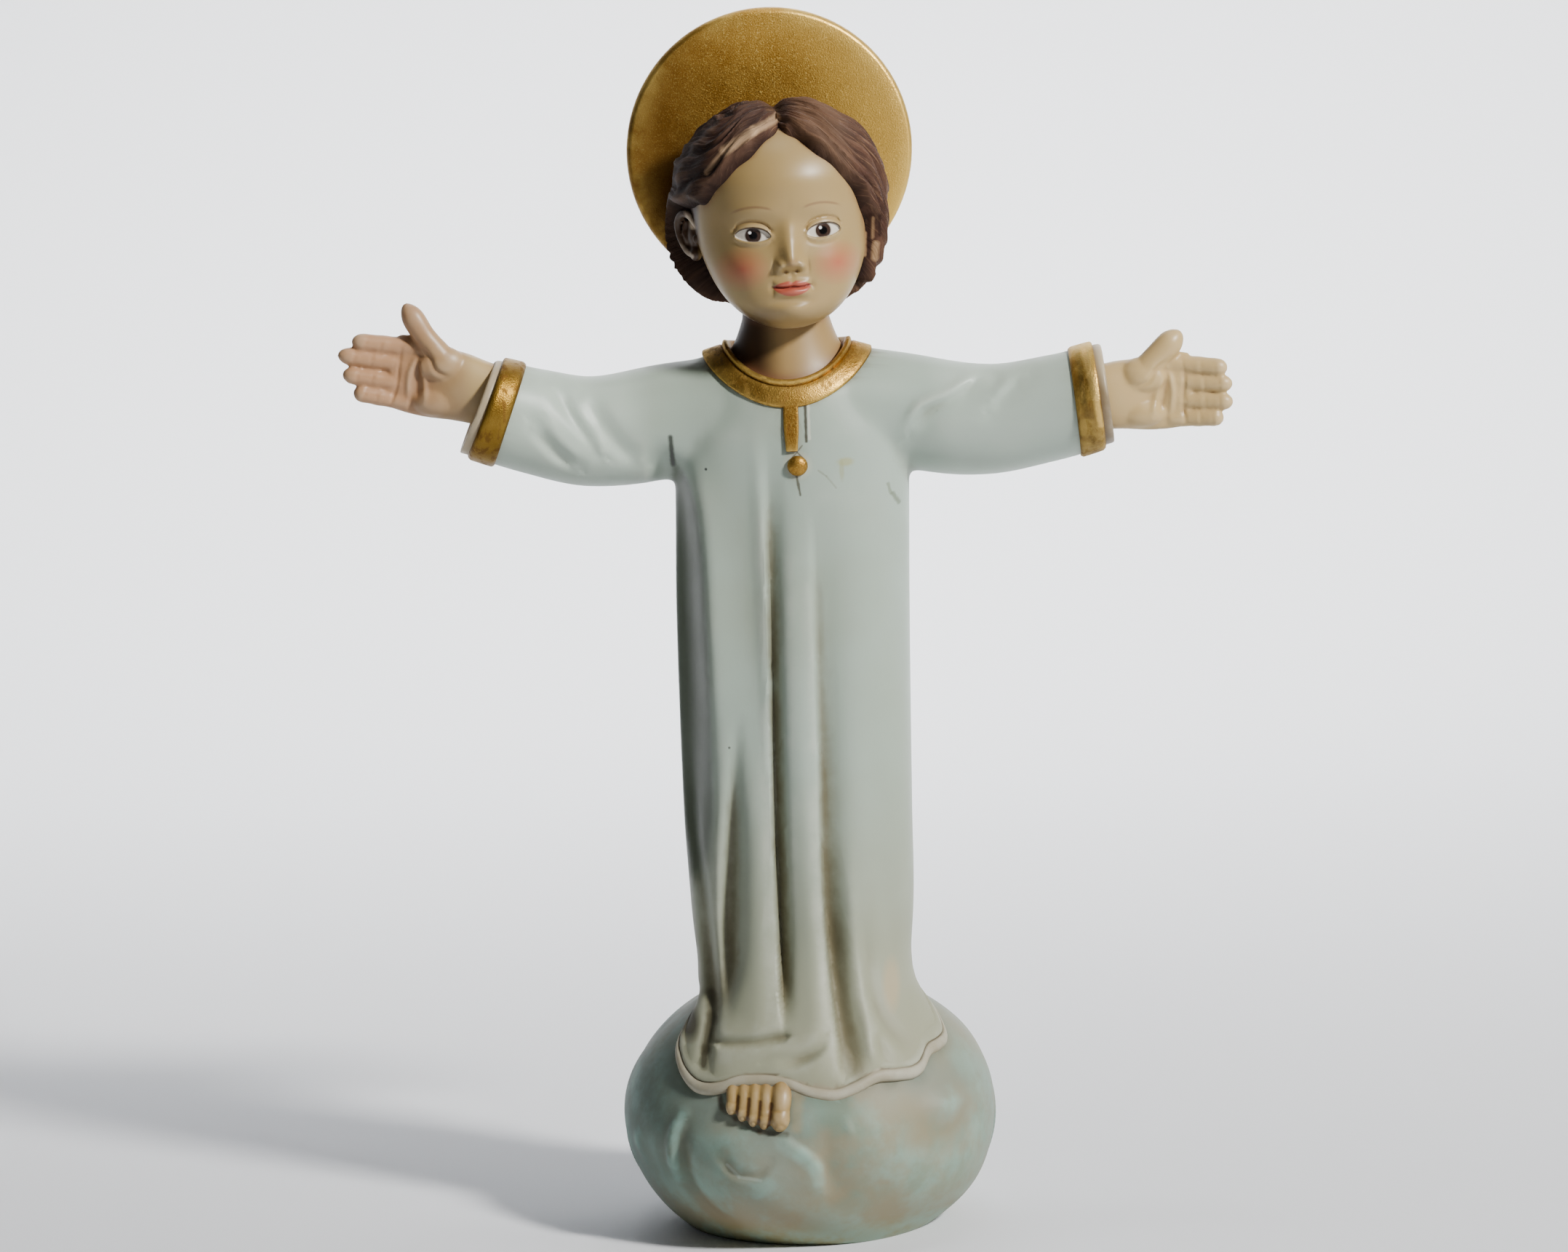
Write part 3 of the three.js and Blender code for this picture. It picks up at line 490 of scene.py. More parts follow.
# Each fold of the robe's front: where it runs, how wide it is on either side, and how deep
ROBE_FOLDS = profiles(
    # Long groove left of the middle, with a sharp left edge
    (((196, -5.2), (150, -6.0), (100, -6.4), (85, -6.2), (60, -6.0)),
     ((196, 2.2), (170, 0.9), (60, 0.6)), ((196, 4), (160, 2.8), (120, 2.4), (60, 2.3)),
     ((202, 0), (188, 1.0), (168, 2.4), (120, 3.8), (85, 4.3), (66, 3.9), (57, 0.8), (54, 0))),
    # Right side of the middle ridge, growing to a deep valley at the hem
    (((175, 5.4), (126, 5.4), (97, 5.0), (85, 5.2), (74, 5.8), (63, 6.8), (52, 8.3), (40, 10.2)),
     ((170, 1.2), (100, 0.6), (60, 0.9), (44, 1.5)),
     ((170, 6), (110, 5), (85, 4.2), (60, 3.5), (44, 3.2)),
     ((184, 0), (160, 1.1), (126, 2.2), (100, 2.8), (85, 3.8), (66, 4.8), (56, 3.8), (50, 2.8),
      (44, 2.2), (40, 2))),
    # Groove under the left breast line
    (((134, -14.4), (115, -16.2), (97, -17.4), (80, -18.6), (69, -19), (55, -21.3)),
     ((130, 1.8), (97, 2.0), (55, 2.4)), ((130, 1.6), (97, 2.8), (55, 2.6)),
     ((132, 0), (121, 0.8), (106, 2.3), (85, 3.3), (66, 3.0), (54, 0))),
    # Groove along the left silhouette
    (((112, -27.8), (102, -27), (88, -25.2), (78, -24.5), (66, -23.7), (58, -23.5), (53, -24.2),
      (49, -25.2), (45, -25.9)),
     ((110, 1.8), (60, 1.8), (44, 2.2)), ((110, 1.4), (60, 1.6), (44, 1.8)),
     ((122, 0), (104, 1.4), (85, 2.4), (66, 3.0), (58, 2.8), (52, 2.4), (47, 1.8), (42, 0.8))),
    # Crease that turns out to the right above the hem
    (((78, 13.2), (66, 14.6), (60, 16.2), (54, 19.4), (50, 22.6), (46, 25)),
     ((76, 2.0), (46, 2.2)), ((76, 3.0), (46, 3.2)),
     ((84, 0), (70, 1.0), (60, 1.5), (52, 1.3), (46, 0.4), (43, 0))),
    # Small pocket in the hem on the right
    (((54, 16.4), (50, 17.4), (45, 19.4)), ((50, 1.4), (45, 1.6)),
     ((50, 1.6), (45, 1.8)), ((55, 0), (50, 1.0), (46, 0.9), (43, 0))),
    # Shallow hollows that widen the planes
    (((190, 14), (100, 20), (60, 24)), ((190, 5), (60, 4)), ((190, 5), (60, 4)),
     ((150, 0), (110, 0.5), (75, 0.9), (55, 0.4), (46, 0))),
    (((200, -11.5), (150, -10.5), (120, -9.8)),
     ((200, 7), (120, 5)), ((200, 3.6), (120, 3)),
     ((205, 0), (180, 1.0), (150, 1.3), (125, 0.7), (108, 0))),
)
# Ridges between the folds, which stand proud where two grooves press the cloth
ROBE_RIDGES = profiles(
    (((170, 0.6), (100, 1.2), (60, 2.5), (44, 3)), ((170, 3.6), (60, 3.6), (44, 5)),
     ((180, 0), (150, 0.5), (100, 1.1), (60, 1.2), (46, 0.4))),
    (((97, 11.6), (80, 12), (63, 14), (50, 15.4), (44, 16.6)), ((97, 1.8), (44, 1.9)),
     ((100, 0), (84, 0.5), (63, 1.2), (50, 1.5), (44, 1))),
    (((120, -10.6), (85, -11.2), (60, -12), (50, -13)), ((120, 3), (60, 3.4)),
     ((125, 0), (100, 0.6), (70, 0.9), (54, 0.5), (48, 0))),
    (((110, -21.6), (85, -21), (60, -21)), ((110, 1.4), (60, 1.0)),
     ((108, 0), (92, 0.3), (70, 0.35), (56, 0.1), (50, 0))),
    (((200, -25), (180, -22.4), (125, -20.6)), ((200, 3), (180, 4), (125, 3.4)),
     ((198, 0), (184, 1.3), (140, 1.3), (108, 0))),
)
# The front turns away sharply into a flat side on the left
side_edge = profile(
    (200, -29.5), (194, -27), (188, -24.2), (180, -22.4), (165, -21.4), (110, -20.8), (85, -21.2),
)
side_turn = profile((200, 0), (190, 0.6), (180, 0.95), (115, 0.9), (84, 0))
SIDE_SOFT = 0.6
BACK_FOLDS = profiles(*(
    (((165, x * 0.8), (44, x * 1.25)), ((165, 3.6), (44, 2.4)), ((165, 4.4), (44, 3.6)),
     ((180, 0), (120, depth * 0.5), (70, depth), (44, depth * 1.2)))
    for x, depth in ((-19, 2.0), (-8, 1.4), (3, 2.2), (12, 1.2), (22, 1.8))
))
# Creases drawn across the cloth: places, width above and below the line, and depth
CREASES = (
    (((-21.8, 50.8), (-14.3, 51.5), (-6.2, 52.8)), 1.8, 0.6, 1.7),
)
SOFT_CREASES = ((((4.4, 53), (2.8, 50.6), (0.2, 48.8), (-4.2, 47.2), (-9.7, 47)), 2.0, 0.8, 1.6),)
SLEEVE_CREASES = (
    (((-62.4, 203.4), (-57.6, 197), (-52.4, 192.4)), 2.2, 1.3, 1.1),
    (((-57.4, 213.4), (-51.8, 204.4), (-46, 196.4)), 2.8, 1.8, 1.5),
    (((-49.6, 210), (-41.4, 197.4), (-36.4, 193.4)), 2.8, 2.0, 1.2),
    (((48.2, 211.4), (41, 206.4), (34, 203), (30, 199)), 1.4, 3.2, 1.1),
    (((57.4, 211.4), (53, 207), (49, 204)), 1.2, 2.6, 0.5),
)
SLEEVE_SWELLS = (
    (((-53.4, 210), (-48.6, 201.6), (-42.6, 193.8)), 1.7, 1.7, 0.6),
    (((-59.5, 206.5), (-55, 199.4), (-50, 194)), 1.5, 1.5, 0.4),
    (((47.8, 213.8), (39.5, 208.6), (31.3, 205.2), (28, 200.6)), 1.2, 1.2, 0.9),
    (((54.6, 212), (49.4, 206.8)), 1.2, 1.2, 0.4),
)


def smooth_line(line, steps=9):
    """A curve through the places of a drawn line."""
    points = np.array(line, float)
    if len(points) < 3:
        return points
    lengths = np.r_[0, np.cumsum(np.linalg.norm(np.diff(points, axis=0), axis=1))]
    shares = np.linspace(0, lengths[-1], steps)
    return np.stack([profile(*zip(lengths, points[:, k]))(shares) for k in range(2)], 1)


def line_distance(x, z, line):
    """Distance from a drawn line as seen from the front, negative below it."""
    line = smooth_line(line)
    nearest = np.full(x.shape, 1e9)
    for (x0, z0), (x1, z1) in zip(line[:-1], line[1:]):
        ahead_x, ahead_z = x1 - x0, z1 - z0
        span = ahead_x**2 + ahead_z**2
        share = np.clip(((x - x0) * ahead_x + (z - z0) * ahead_z) / span, 0, 1)
        off_x = x - lerp(x0, x1, share)
        off_z = z - lerp(z0, z1, share)
        over = np.sign(off_z * ahead_x - off_x * ahead_z) * math.copysign(1, ahead_x)
        distance = np.hypot(off_x, off_z)
        nearest = np.where(distance < np.abs(nearest), distance * np.where(over == 0, 1, over), nearest)
    return nearest


def drawn(x, z, lines, fade=0.3):
    """How deep the drawn lines cut, fading out at both ends of each."""
    total = 0
    for line, above, below, depth in lines:
        distance = line_distance(x, z, line)
        start, end = np.array(line[0]), np.array(line[-1])
        reach = np.linalg.norm(end - start)
        from_start = np.hypot(x - start[0], z - start[1]) / reach
        from_end = np.hypot(x - end[0], z - end[1]) / reach
        fading = smoothstep(np.minimum(from_start, from_end), -0.12, fade)
        total = total + depth * cut(-distance, above, below) * fading
    return total


def fold_inset(folds, x, z):
    return sum(depth(z) * cut(x - line(z), left(z), right(z)) for line, left, right, depth in folds)


def on_column(x):
    """One on the column, and nothing on the sleeves."""
    return 1 - smoothstep(np.abs(x), 29, 33)


def groove_depth(x, z):
    """How deep the front's grooves and drawn creases are, as seen from the front."""
    folds = on_column(x) * fold_inset(ROBE_FOLDS, x, z)
    return folds + drawn(x, z, CREASES, 0.06) + drawn(x, z, SOFT_CREASES, 0.45)


def side_depth(x, z):
    """How far the flat side on the left falls back from the front."""
    turned = np.logaddexp(0, (side_edge(z) - x) / SIDE_SOFT) * SIDE_SOFT * side_turn(z)
    return turned * smoothstep(x, -36, -30)


def robe_body():
    body = one_skin("robe", [column(), *(sleeve(arm) for arm in ARMS)], VOXEL["robe"])
    x, _, z = places_of(body.data).T
    # The shoulders run into the sleeves softly, and the armpits stay tight
    soft = smoothstep(z, 192, 204) * bell(np.abs(x) - 27, 11)
    soft = np.maximum(soft, 0.8 * smoothstep(z, 182, 192) * bell(np.abs(x) - 30, 7))
    relax(body.data, 60, 0.5 * soft)
    mesh, xyz, normals = relaxed(body, 3, 0.35)
    x, y, z = xyz.T
    front = smoothstep(-normals[:, 1], -0.05, 0.45) * smoothstep(-y, 0, 6)
    back = smoothstep(normals[:, 1], 0.0, 0.5) * smoothstep(y, 0, 6)
    inset = groove_depth(x, z)
    ridges = sum(depth(z) * bell(x - line(z), width(z)) for line, width, depth in ROBE_RIDGES)
    inset -= on_column(x) * ridges
    inset += smoothstep(np.abs(x), 24, 30) * (drawn(x, z, SLEEVE_CREASES) - drawn(x, z, SLEEVE_SWELLS))
    inset *= front
    inset += back * on_column(x) * fold_inset(BACK_FOLDS, x, z)
    # The folds calm down into the hem's band
    from_hem = above_hem(x, y, z)
    calm_over = np.where(x < -19, 4.5, 9)
    inset *= lerp(0.15, 1.0, smoothstep(from_hem / calm_over, 0.28, 1))
    inset += side_depth(x, z) * smoothstep(-y, 0, 14)
    xyz[:, 0] -= inset * 0.25 * normals[:, 0]
    xyz[:, 1] -= inset * np.sign(y)
    # Deep folds stop short of the cloud
    centre = np.array([0, 0, CLOUD_CENTRE_Z])
    clear = CLOTH_CLEAR * smoothstep(from_hem, 1, 5)
    from_centre = xyz - centre
    depth = np.linalg.norm(from_centre / (np.array(CLOUD_HALF) + clear[:, None]), axis=1)
    outer = (np.hypot(x, y) > 20) & (normals[:, 2] > -0.5) & (z < 70)
    grown = np.where(outer & (depth < 1), 1 / np.maximum(depth, 0.5), 1)
    put_places(mesh, centre + from_centre * grown[:, None])
    return painted(thinned(body, TRIANGLES["robe"]), ROBE)


def collar():
    section = [
        (1.04, -1.2), (1.08, 0.2), (1.02, 0.75), (0.9, 1.0), (0.5, 1.02), (0.0, 1.0), (-0.42, 0.95),
        (-0.5, 0.7), (-0.56, 0.95), (-0.66, 1.5), (-0.8, 1.72), (-0.95, 1.5), (-1.04, 0.9), (-1.04, -1.2),
        (0, -1.6), (1.04, -1.2),
    ]
    return painted(swept("collar", 160, section, lambda s, a: collar_point(a, *s)), GOLD)


def neck():
    radius, middle, flat, throat_top = 10.4, -1.4, 0.97, 226.0

    def ring(station, angles):
        kind, value = station
        if kind == "throat":
            x0, y0, z0 = collar_point(angles, -0.9, 0.0)
            narrow = value**0.62
            x = lerp(x0, (radius + 0.3) * np.cos(angles), narrow)
            y = lerp(y0, middle + radius * flat * np.sin(angles), narrow)
            return x, y, lerp(z0 - 1.4, throat_top, value)
        z, rho = value
        return radius * rho * np.cos(angles), middle + radius * flat * rho * np.sin(angles), z

    stations = [("neck", (200, 0.0)), ("neck", (200, 0.8))]
    stations += [("throat", share) for share in np.linspace(0, 1, 14)]
    stations += [("neck", (z, 1.0)) for z in (229, 232, 235, 238, 240)]
    stations += [("neck", (241, 0.0))]
    return painted(swept("neck", 96, stations, ring), SKIN)


def robe_front(x, z):
    across = np.minimum(0.98, np.abs(x / robe_half_width(z)))
    return robe_middle(z) - robe_half_depth(z) * (1 - across**ROBE_ROUNDNESS) ** (1 / ROBE_ROUNDNESS)


def placket():
    middle_x, middle_z, sunk = 0.45, 202, 1.1
    form = bmesh.new()
    bmesh.ops.create_cube(form, size=1)
    bmesh.ops.scale(form, vec=Vector((3.7, 4, 12.6)), verts=form.verts)
    bmesh.ops.subdivide_edges(form, edges=form.edges, cuts=5, use_grid_fill=True)
    bmesh.ops.translate(form, vec=Vector((middle_x, 0, middle_z)), verts=form.verts)
    for vert in form.verts:
        shift = float(robe_front(vert.co.x, vert.co.z))
        taper = 1 - 0.22 * float(smoothstep(np.array(vert.co.z), middle_z, 195.5))
        vert.co.x = middle_x + (vert.co.x - middle_x) * taper
        vert.co.y += shift + sunk
    outline = [edge for edge in form.edges if edge.calc_face_angle(0) > 1]
    bmesh.ops.bevel(form, geom=outline, offset=0.4, segments=3, profile=0.5, affect="EDGES", material=-1)
    return painted(piece_of("placket", form), GOLD)


def button():
    x, z = 1.7, 192.2
    knob = ball("button", (x, float(robe_front(x, z)) - 0.3, z), (2.5, 1.6, 2.5), 4)
    return painted(knob, GOLD)


def cuff(arm):
    """The gold band round the sleeve's end, and the thin lip that stands out of it."""
    band = [
        (0.886, 0.82, 0), (0.888, 1, -0.4), (0.889, 1, 0.4), (0.898, 1, 0.85), (0.92, 1, 0.9),
        (0.955, 1, 0.9), (0.972, 1, 0.85), (0.98, 1, 0.4), (0.982, 1, -0.4), (0.982, 0.82, 0),
        (0.886, 0.82, 0),
    ]
    lip = [
        (0.96, 0.86, 0), (0.97, 0.98, 0), (0.99, 0.99, -0.1), (1.004, 0.985, -0.1), (1.012, 0.965, -0.1),
        (1.014, 0.93, -0.1), (1.01, 0.885, 0), (1.0, 0.865, 0), (0.96, 0.86, 0),
    ]
    pieces = []
    for name, section, finish in (("cuff_band", band, GOLD), ("cuff_lip", lip, TRIM)):
        made = swept(name, 96, section, lambda s, a: sleeve_point(arm, s[0], a, s[1], s[2]))
        pieces.append(painted(made, finish))
    return pieces


# Hands: measured from the wrist as reach outward, height towards the thumb, and towards the viewer
palm_half_height = profile((-12, 7.6), (-4, 7.9), (0, 8.3), (8, 8.9), (15, 9.3), (18, 8.6))
palm_half_depth = profile((-12, 5.6), (0, 5.2), (8, 4.1), (15, 3.2), (18, 2.3))
palm_middle = profile((-12, -1), (0, 0), (8, -0.2), (15, 0.4), (18, 0.6))
FINGER_START = 12.5
FINGER_ROOTS = (7.0, 2.6, -2.0, -6.4)
FINGER_TIPS = (5.2, 1.2, -3.2, -6.9)
FINGER_RADII = ((0, 2.3), (0.18, 2.32), (0.42, 2.2), (0.52, 2.3), (0.7, 2.15), (0.82, 2.2), (1, 1.75))
# Lines of the palm and of the finger joints, by reach and height
PALM_LINES = (
    (((13, 8.4), (10, 6.4), (7.6, 3.3), (3.8, 2.2)), 0.7, 0.7, 0.55),
    (((11.8, 2.4), (11.2, -1), (10.4, -4.8)), 0.5, 0.5, 0.35),
    (((16.6, -8.4), (15.9, -3.4), (16.4, 1.6), (16.8, 5.6)), 0.45, 0.45, 0.35),
)
PALM_RIDGES = (
    (((12.6, 6.2), (13.5, 0.5), (12.4, -5.8)), 0.75, 0.75, 0.55),
    (((12.2, 6.2), (9.7, 0.4), (8.2, -5.4)), 0.75, 0.75, 0.55),
)


def hand_frame(arm):
    rise, side = arm["rise"], arm["side"]
    out = np.array([side * math.cos(rise), 0, math.sin(rise)])
    up = np.array([-side * math.sin(rise), 0, math.cos(rise)])
    wrist = np.array([side * arm["wrist"][0], arm["wrist"][1], arm["wrist"][2]])
    return wrist, out, up


def hand(arm):
    wrist, out, up = hand_frame(arm)

    def at(reach, height, depth):
        place = wrist + np.multiply.outer(reach, out) + np.multiply.outer(height, up)
        return place - np.multiply.outer(depth, (0, 1, 0))

    def palm_ring(station, angles):
        reach, rho = station
        height = palm_middle(reach) + palm_half_height(reach) * np.sin(angles) * rho
        depth = palm_half_depth(reach) * signed_power(np.cos(angles), 0.8) * rho
        hollow = 1.1 * smoothstep(np.cos(angles), 0.2, 1) * bell(reach - 11, 6) * rho
        place = at(reach + 0 * angles, height, depth - hollow)
        return place[:, 0], place[:, 1], place[:, 2]

    stations = [(-12, 0.0), (-12, 0.6)]
    stations += [(reach, 1.0) for reach in np.linspace(-12, 18, 50)]
    stations += [(18.4, 0.7), (18.6, 0.0)]
    forms = [swept("palm", 64, stations, palm_ring)]
    fingers = list(zip(FINGER_ROOTS, FINGER_TIPS, arm["reach"]))
    for root, tip_height, tip in fingers:
        path = []
        for share, radius in FINGER_RADII:
            depth = 0.2 + arm["curl"] * (0.25 * share + 0.75 * share**2)
            place = at(lerp(FINGER_START, tip, share), lerp(root, tip_height, share), depth)
            path.append((place, radius))
        forms.append(limb("finger", path, 24, 40, 0.96, 0.13))
    thumb_path = [(at(r, h, d), radius) for r, h, d, radius in arm["thumb"]]
    forms.append(limb("thumb", thumb_path, 28, 40, 0.92, 0.2))
    forms.append(ball("thumb_ball", at(6.2, 4.6, 1.8), (5.6, 3.6, 4.6)))
    forms.append(ball("heel_ball", at(5.6, -4.4, 1.4), (6.2, 3.4, 3.8)))
    made = one_skin("hand", forms, VOXEL["hand"])
    mesh, xyz, normals = relaxed(made, 4, 0.4)
    reach = (xyz - wrist) @ out
    height = (xyz - wrist) @ up
    front = smoothstep(-normals[:, 1], 0.2, 0.7)
    inset = drawn(reach, height, PALM_LINES) * front * (height < 10)
    for root, tip_height, tip in fingers:
        along = (reach - FINGER_START) / (tip - FINGER_START)
        on_finger = bell(height - lerp(root, tip_height, along), 1.9)
        for share in (0.26, 0.56, 0.78):
            inset += 0.14 * bell(reach - lerp(FINGER_START, tip, share), 0.42) * on_finger * front
    inset -= drawn(reach, height, PALM_RIDGES) * front
    # Nails lie on the backs of the fingers
    behind = smoothstep(normals[:, 1], 0.3, 0.8)
    for _, tip_height, tip in fingers:
        nail = np.hypot((reach - tip + 2.0) / 1.7, (height - tip_height) / 1.25)
        inset += behind * 0.32 * bell(nail - 1.0, 0.22) * (reach > 20)
    put_places(mesh, xyz - normals * inset[:, None])
    return painted(thinned(made, TRIANGLES["hand"]), SKIN)


TOES = ((-19.5, 1.6, 35.2), (-16.9, 1.6, 33.8), (-14.3, 1.65, 32.7), (-11.6, 1.7, 32.1), (-7.9, 2.5, 31.7))
TOE_ROOT = 43.5
TOE_SECTIONS = ((0.3, 0.5, 1.0), (0.6, 1.0, 0.92), (0.82, 1.1, 1.06), (1, 0.6, 1.0))
FOOT_X = -11.9


def cloud_front(x, z):
    inside = 1 - (x / CLOUD_HALF[0]) ** 2 - ((z - CLOUD_CENTRE_Z) / CLOUD_HALF[2]) ** 2
    return -CLOUD_HALF[1] * math.sqrt(max(inside, 0))


def foot():
    forms = []
    for x, radius, tip in TOES:
        path = []
        # Each toe's root is sunk under the hem
        root = (0, -1.4 * radius, 1.0)
        for share, proud, size in (root, *TOE_SECTIONS):
            z = lerp(TOE_ROOT, tip, share)
            path.append(((x + (z - tip) * 0.12, cloud_front(x, z) - proud, z), radius * size))
        forms.append(limb("toe", path, 24, 36, 1.0, 0.28))
    stations = ((51, 11.0, 8.0), (46, 8.6, 8.4), (42.5, 6.1, 8.6), (38, 3.4, 8.2), (34.8, 2.9, 6.6))
    instep = [
        ((FOOT_X + (z - 38) * 0.1, cloud_front(FOOT_X, z) + sink, z), radius)
        for z, sink, radius in stations
    ]
    forms.append(limb("instep", instep, 40, 30, 0.44, 0.3))
    made = one_skin("foot", forms, VOXEL["foot"])
    mesh, xyz, normals = relaxed(made, 3, 0.4)
    inset = 0
    for x, radius, tip in TOES:
        across, up = xyz[:, 0] - x, xyz[:, 2] - tip
        nail = np.hypot(across / (radius * 0.62), (up - radius * 0.3) / (radius * 0.6))
        inset += 0.22 * bell(nail - 1, 0.24) * smoothstep(-normals[:, 1], 0.3, 0.7)
        inset += 0.18 * bell(up - radius * 2.2, 0.4) * bell(across, radius)
    put_places(mesh, xyz - normals * inset[:, None])
    return painted(thinned(made, TRIANGLES["foot"]), SKIN)


# Head: an egg with a fuller crown and a small chin, in its own frame
head_wide = profile((-26, 22), (-20, 21.2), (-10, 20.8), (0, 21.4), (8, 23), (16, 25.4), (26, 27.2))
head_deep = profile(
    (-26, 20), (-20, 18.6), (-15, 17.6), (-9, 18.4), (-2, 20.4), (5, 23.2), (12, 26), (26, 28.4),
)
head_middle = profile((-26, -11), (-20, -8.8), (-15, -6.4), (-9, -4.2), (-2, -1.4), (5, 0), (26, 0.3))
# The hair's edge by the turn away from the face in degrees; on the left it passes behind the ear
hair_edge_right = profile(
    (0, 22.9), (8, 21), (19, 17.6), (35, 12.4), (51, 5.6), (66, -2), (80, -9.5), (95, -15), (120, -19),
    (180, -20),
)
hair_edge_left = profile(
    (0, 22.9), (8, 21), (19, 17.6), (35, 13), (51, 8), (64, 5.2), (80, 4.6), (98, 4), (108, -1),
    (117, -12), (132, -18.6), (180, -20),
)


def hair_edge(turn):
    away = np.degrees(np.abs(turn))
    return np.where(turn < 0, hair_edge_left(away), hair_edge_right(away))


# A calm child's face on evenly spaced thirds
EYE_X, EYE_Z = 8.6, -2.6
EYE_HALF_WIDTH = 4.2
UPPER_LID, LOWER_LID = 2.05, 1.35
BROW_Z = 3.4
NOSE_Z = -9.4
MOUTH_Z = -15.4
MOUTH_HALF_WIDTH = 4.6
CHIN_Z = -21.8


def face_relief(x, z):
    side = np.abs(x)
    # Eye opening, as a distance inside its two lid lines
    u = np.clip((side - EYE_X) / EYE_HALF_WIDTH, -1, 1)
    arch = np.sqrt(np.maximum(0, 1 - u * u))
    tilt = 0.25 * u
    v = z - EYE_Z - tilt
    upper = UPPER_LID * arch ** 1.1
    lower = -LOWER_LID * arch ** 1.3
    beyond = np.maximum(0, np.abs(side - EYE_X) - EYE_HALF_WIDTH)
    inside = np.minimum(upper - v, v - lower) - beyond * 1.5
    relief = -2.3 * bell(side - EYE_X + 0.6, 4.9) * bell(z - EYE_Z - 0.2, 3.6)
    relief += 2.6 * bell(side - EYE_X, 4.2) * bell(v, 3.0)
    relief -= 0.62 * smoothstep(inside, -0.2, 0.3)
    on_eye = smoothstep(EYE_HALF_WIDTH + 1.2 - np.abs(side - EYE_X), 0, 1.6)
    relief += 0.34 * bell(v - upper - 0.35, 0.42) * on_eye
    relief -= 0.5 * bell(v - upper - 1.5, 0.4) * on_eye
    relief += 0.2 * bell(v - lower + 0.4, 0.45) * on_eye
    relief -= 0.16 * bell(v - lower + 1.5, 0.6) * on_eye
    # Brow, nose, lips, chin and cheeks
    relief += 0.5 * bell(side - EYE_X, 6.5) * bell(z - BROW_Z, 2.2)
    relief -= 0.4 * bell(x, 3.2) * bell(z - BROW_Z + 3, 2.6)
    bridge = smoothstep(z, NOSE_Z - 0.5, NOSE_Z + 5) * (1 - smoothstep(z, -3, 4.5))
    relief += 1.3 * bell(x, 2.6) * bridge
    relief += 3.2 * bell(x, 2.3) * bell(z - NOSE_Z, np.where(z > NOSE_Z, 3.6, 1.7))
    relief += 1.55 * bell(side - 2.7, 1.15) * bell(z - NOSE_Z + 0.7, 1.35)
    relief -= 0.55 * bell(side - 4.1, 0.5) * bell(z - NOSE_Z + 0.8, 1.5)
    relief -= 0.9 * bell(side - 1.35, 0.6) * bell(z - NOSE_Z + 2.1, 0.5)
    relief -= 0.3 * bell(x, 0.7) * bell(z - (NOSE_Z + MOUTH_Z) / 2 - 0.3, 1.2)
    lip = np.clip(side / MOUTH_HALF_WIDTH, 0, 1)
    width = np.sqrt(np.maximum(0, 1 - lip**1.8))
    relief += 0.9 * bell(side, 6) * bell(z - MOUTH_Z, 3.2)
    relief += 0.75 * bell(z - MOUTH_Z - 0.95, 0.85) * width * (1 - 0.3 * bell(x, 0.7))
    relief += 0.95 * bell(z - MOUTH_Z + 1.25, 1.05) * width**1.3
    crease_z = MOUTH_Z + 0.12 * bell(x, 1.2) - 0.25 * bell(side - 2.2, 1.4) + 0.35 * lip**2
    relief -= 0.62 * bell(z - crease_z, 0.32) * smoothstep(MOUTH_HALF_WIDTH + 0.5 - side, 0, 1.6)
    relief -= 0.35 * bell(side - MOUTH_HALF_WIDTH - 0.2, 0.9) * bell(z - MOUTH_Z - 0.2, 1.1)
    relief -= 0.85 * bell(x, 4.4) * bell(z - MOUTH_Z + 3.3, 1.2)
    relief += 1.15 * bell(x, 4.2) * bell(z - CHIN_Z - 0.6, 2.6)
    relief += 0.9 * bell(side - 11, 5.2) * bell(z + 11.2, 5.2)
    return relief


def head_place(turn, drop, relief=True):
    z = HEAD_HALF_HEIGHT * np.cos(drop)
    ring = np.sin(drop)
    x = head_wide(z) * ring * np.sin(turn)
    y = head_middle(z) - head_deep(z) * ring * np.cos(turn)
    if relief:
        y = y - face_relief(x, z) * smoothstep(np.cos(turn), 0, 0.5) * smoothstep(ring, 0, 0.2)
    return np.stack([x, y, z], -1)


HEAD_WAY = np.array(
    Matrix.Rotation(HEAD_TILT, 3, "Y")
    @ Matrix.Rotation(HEAD_TURN, 3, "Z")
    @ Matrix.Rotation(HEAD_LIFT, 3, "X")
)


def on_figure(place):
    return place @ HEAD_WAY.T + np.array(HEAD_CENTRE)


def on_head(place):
    return (place - np.array(HEAD_CENTRE)) @ HEAD_WAY


def head_grid(around, along):
    """Turns and drops over the head, closer together round the face."""
    even = np.linspace(-math.pi, math.pi, around + 1)
    turns = 0.5 * even + 0.5 * even**3 / math.pi**2
    crowding = profile((0, 0), (0.25, 0.9), (0.85, 2.5), (1, math.pi))
    drops = crowding(np.linspace(0, 1, along + 1))
    return np.meshgrid(turns, drops)


def head_skin():
    turns, drops = head_grid(300, 250)
    place = head_place(turns, drops)
    place[..., 1] = np.minimum(place[..., 1], HEAD_BACK - 1)
    place[:, -1] = place[:, 0]
    skin = skin_of("head", on_figure(place))
    return painted(thinned(skin, TRIANGLES["head"]), SKIN)


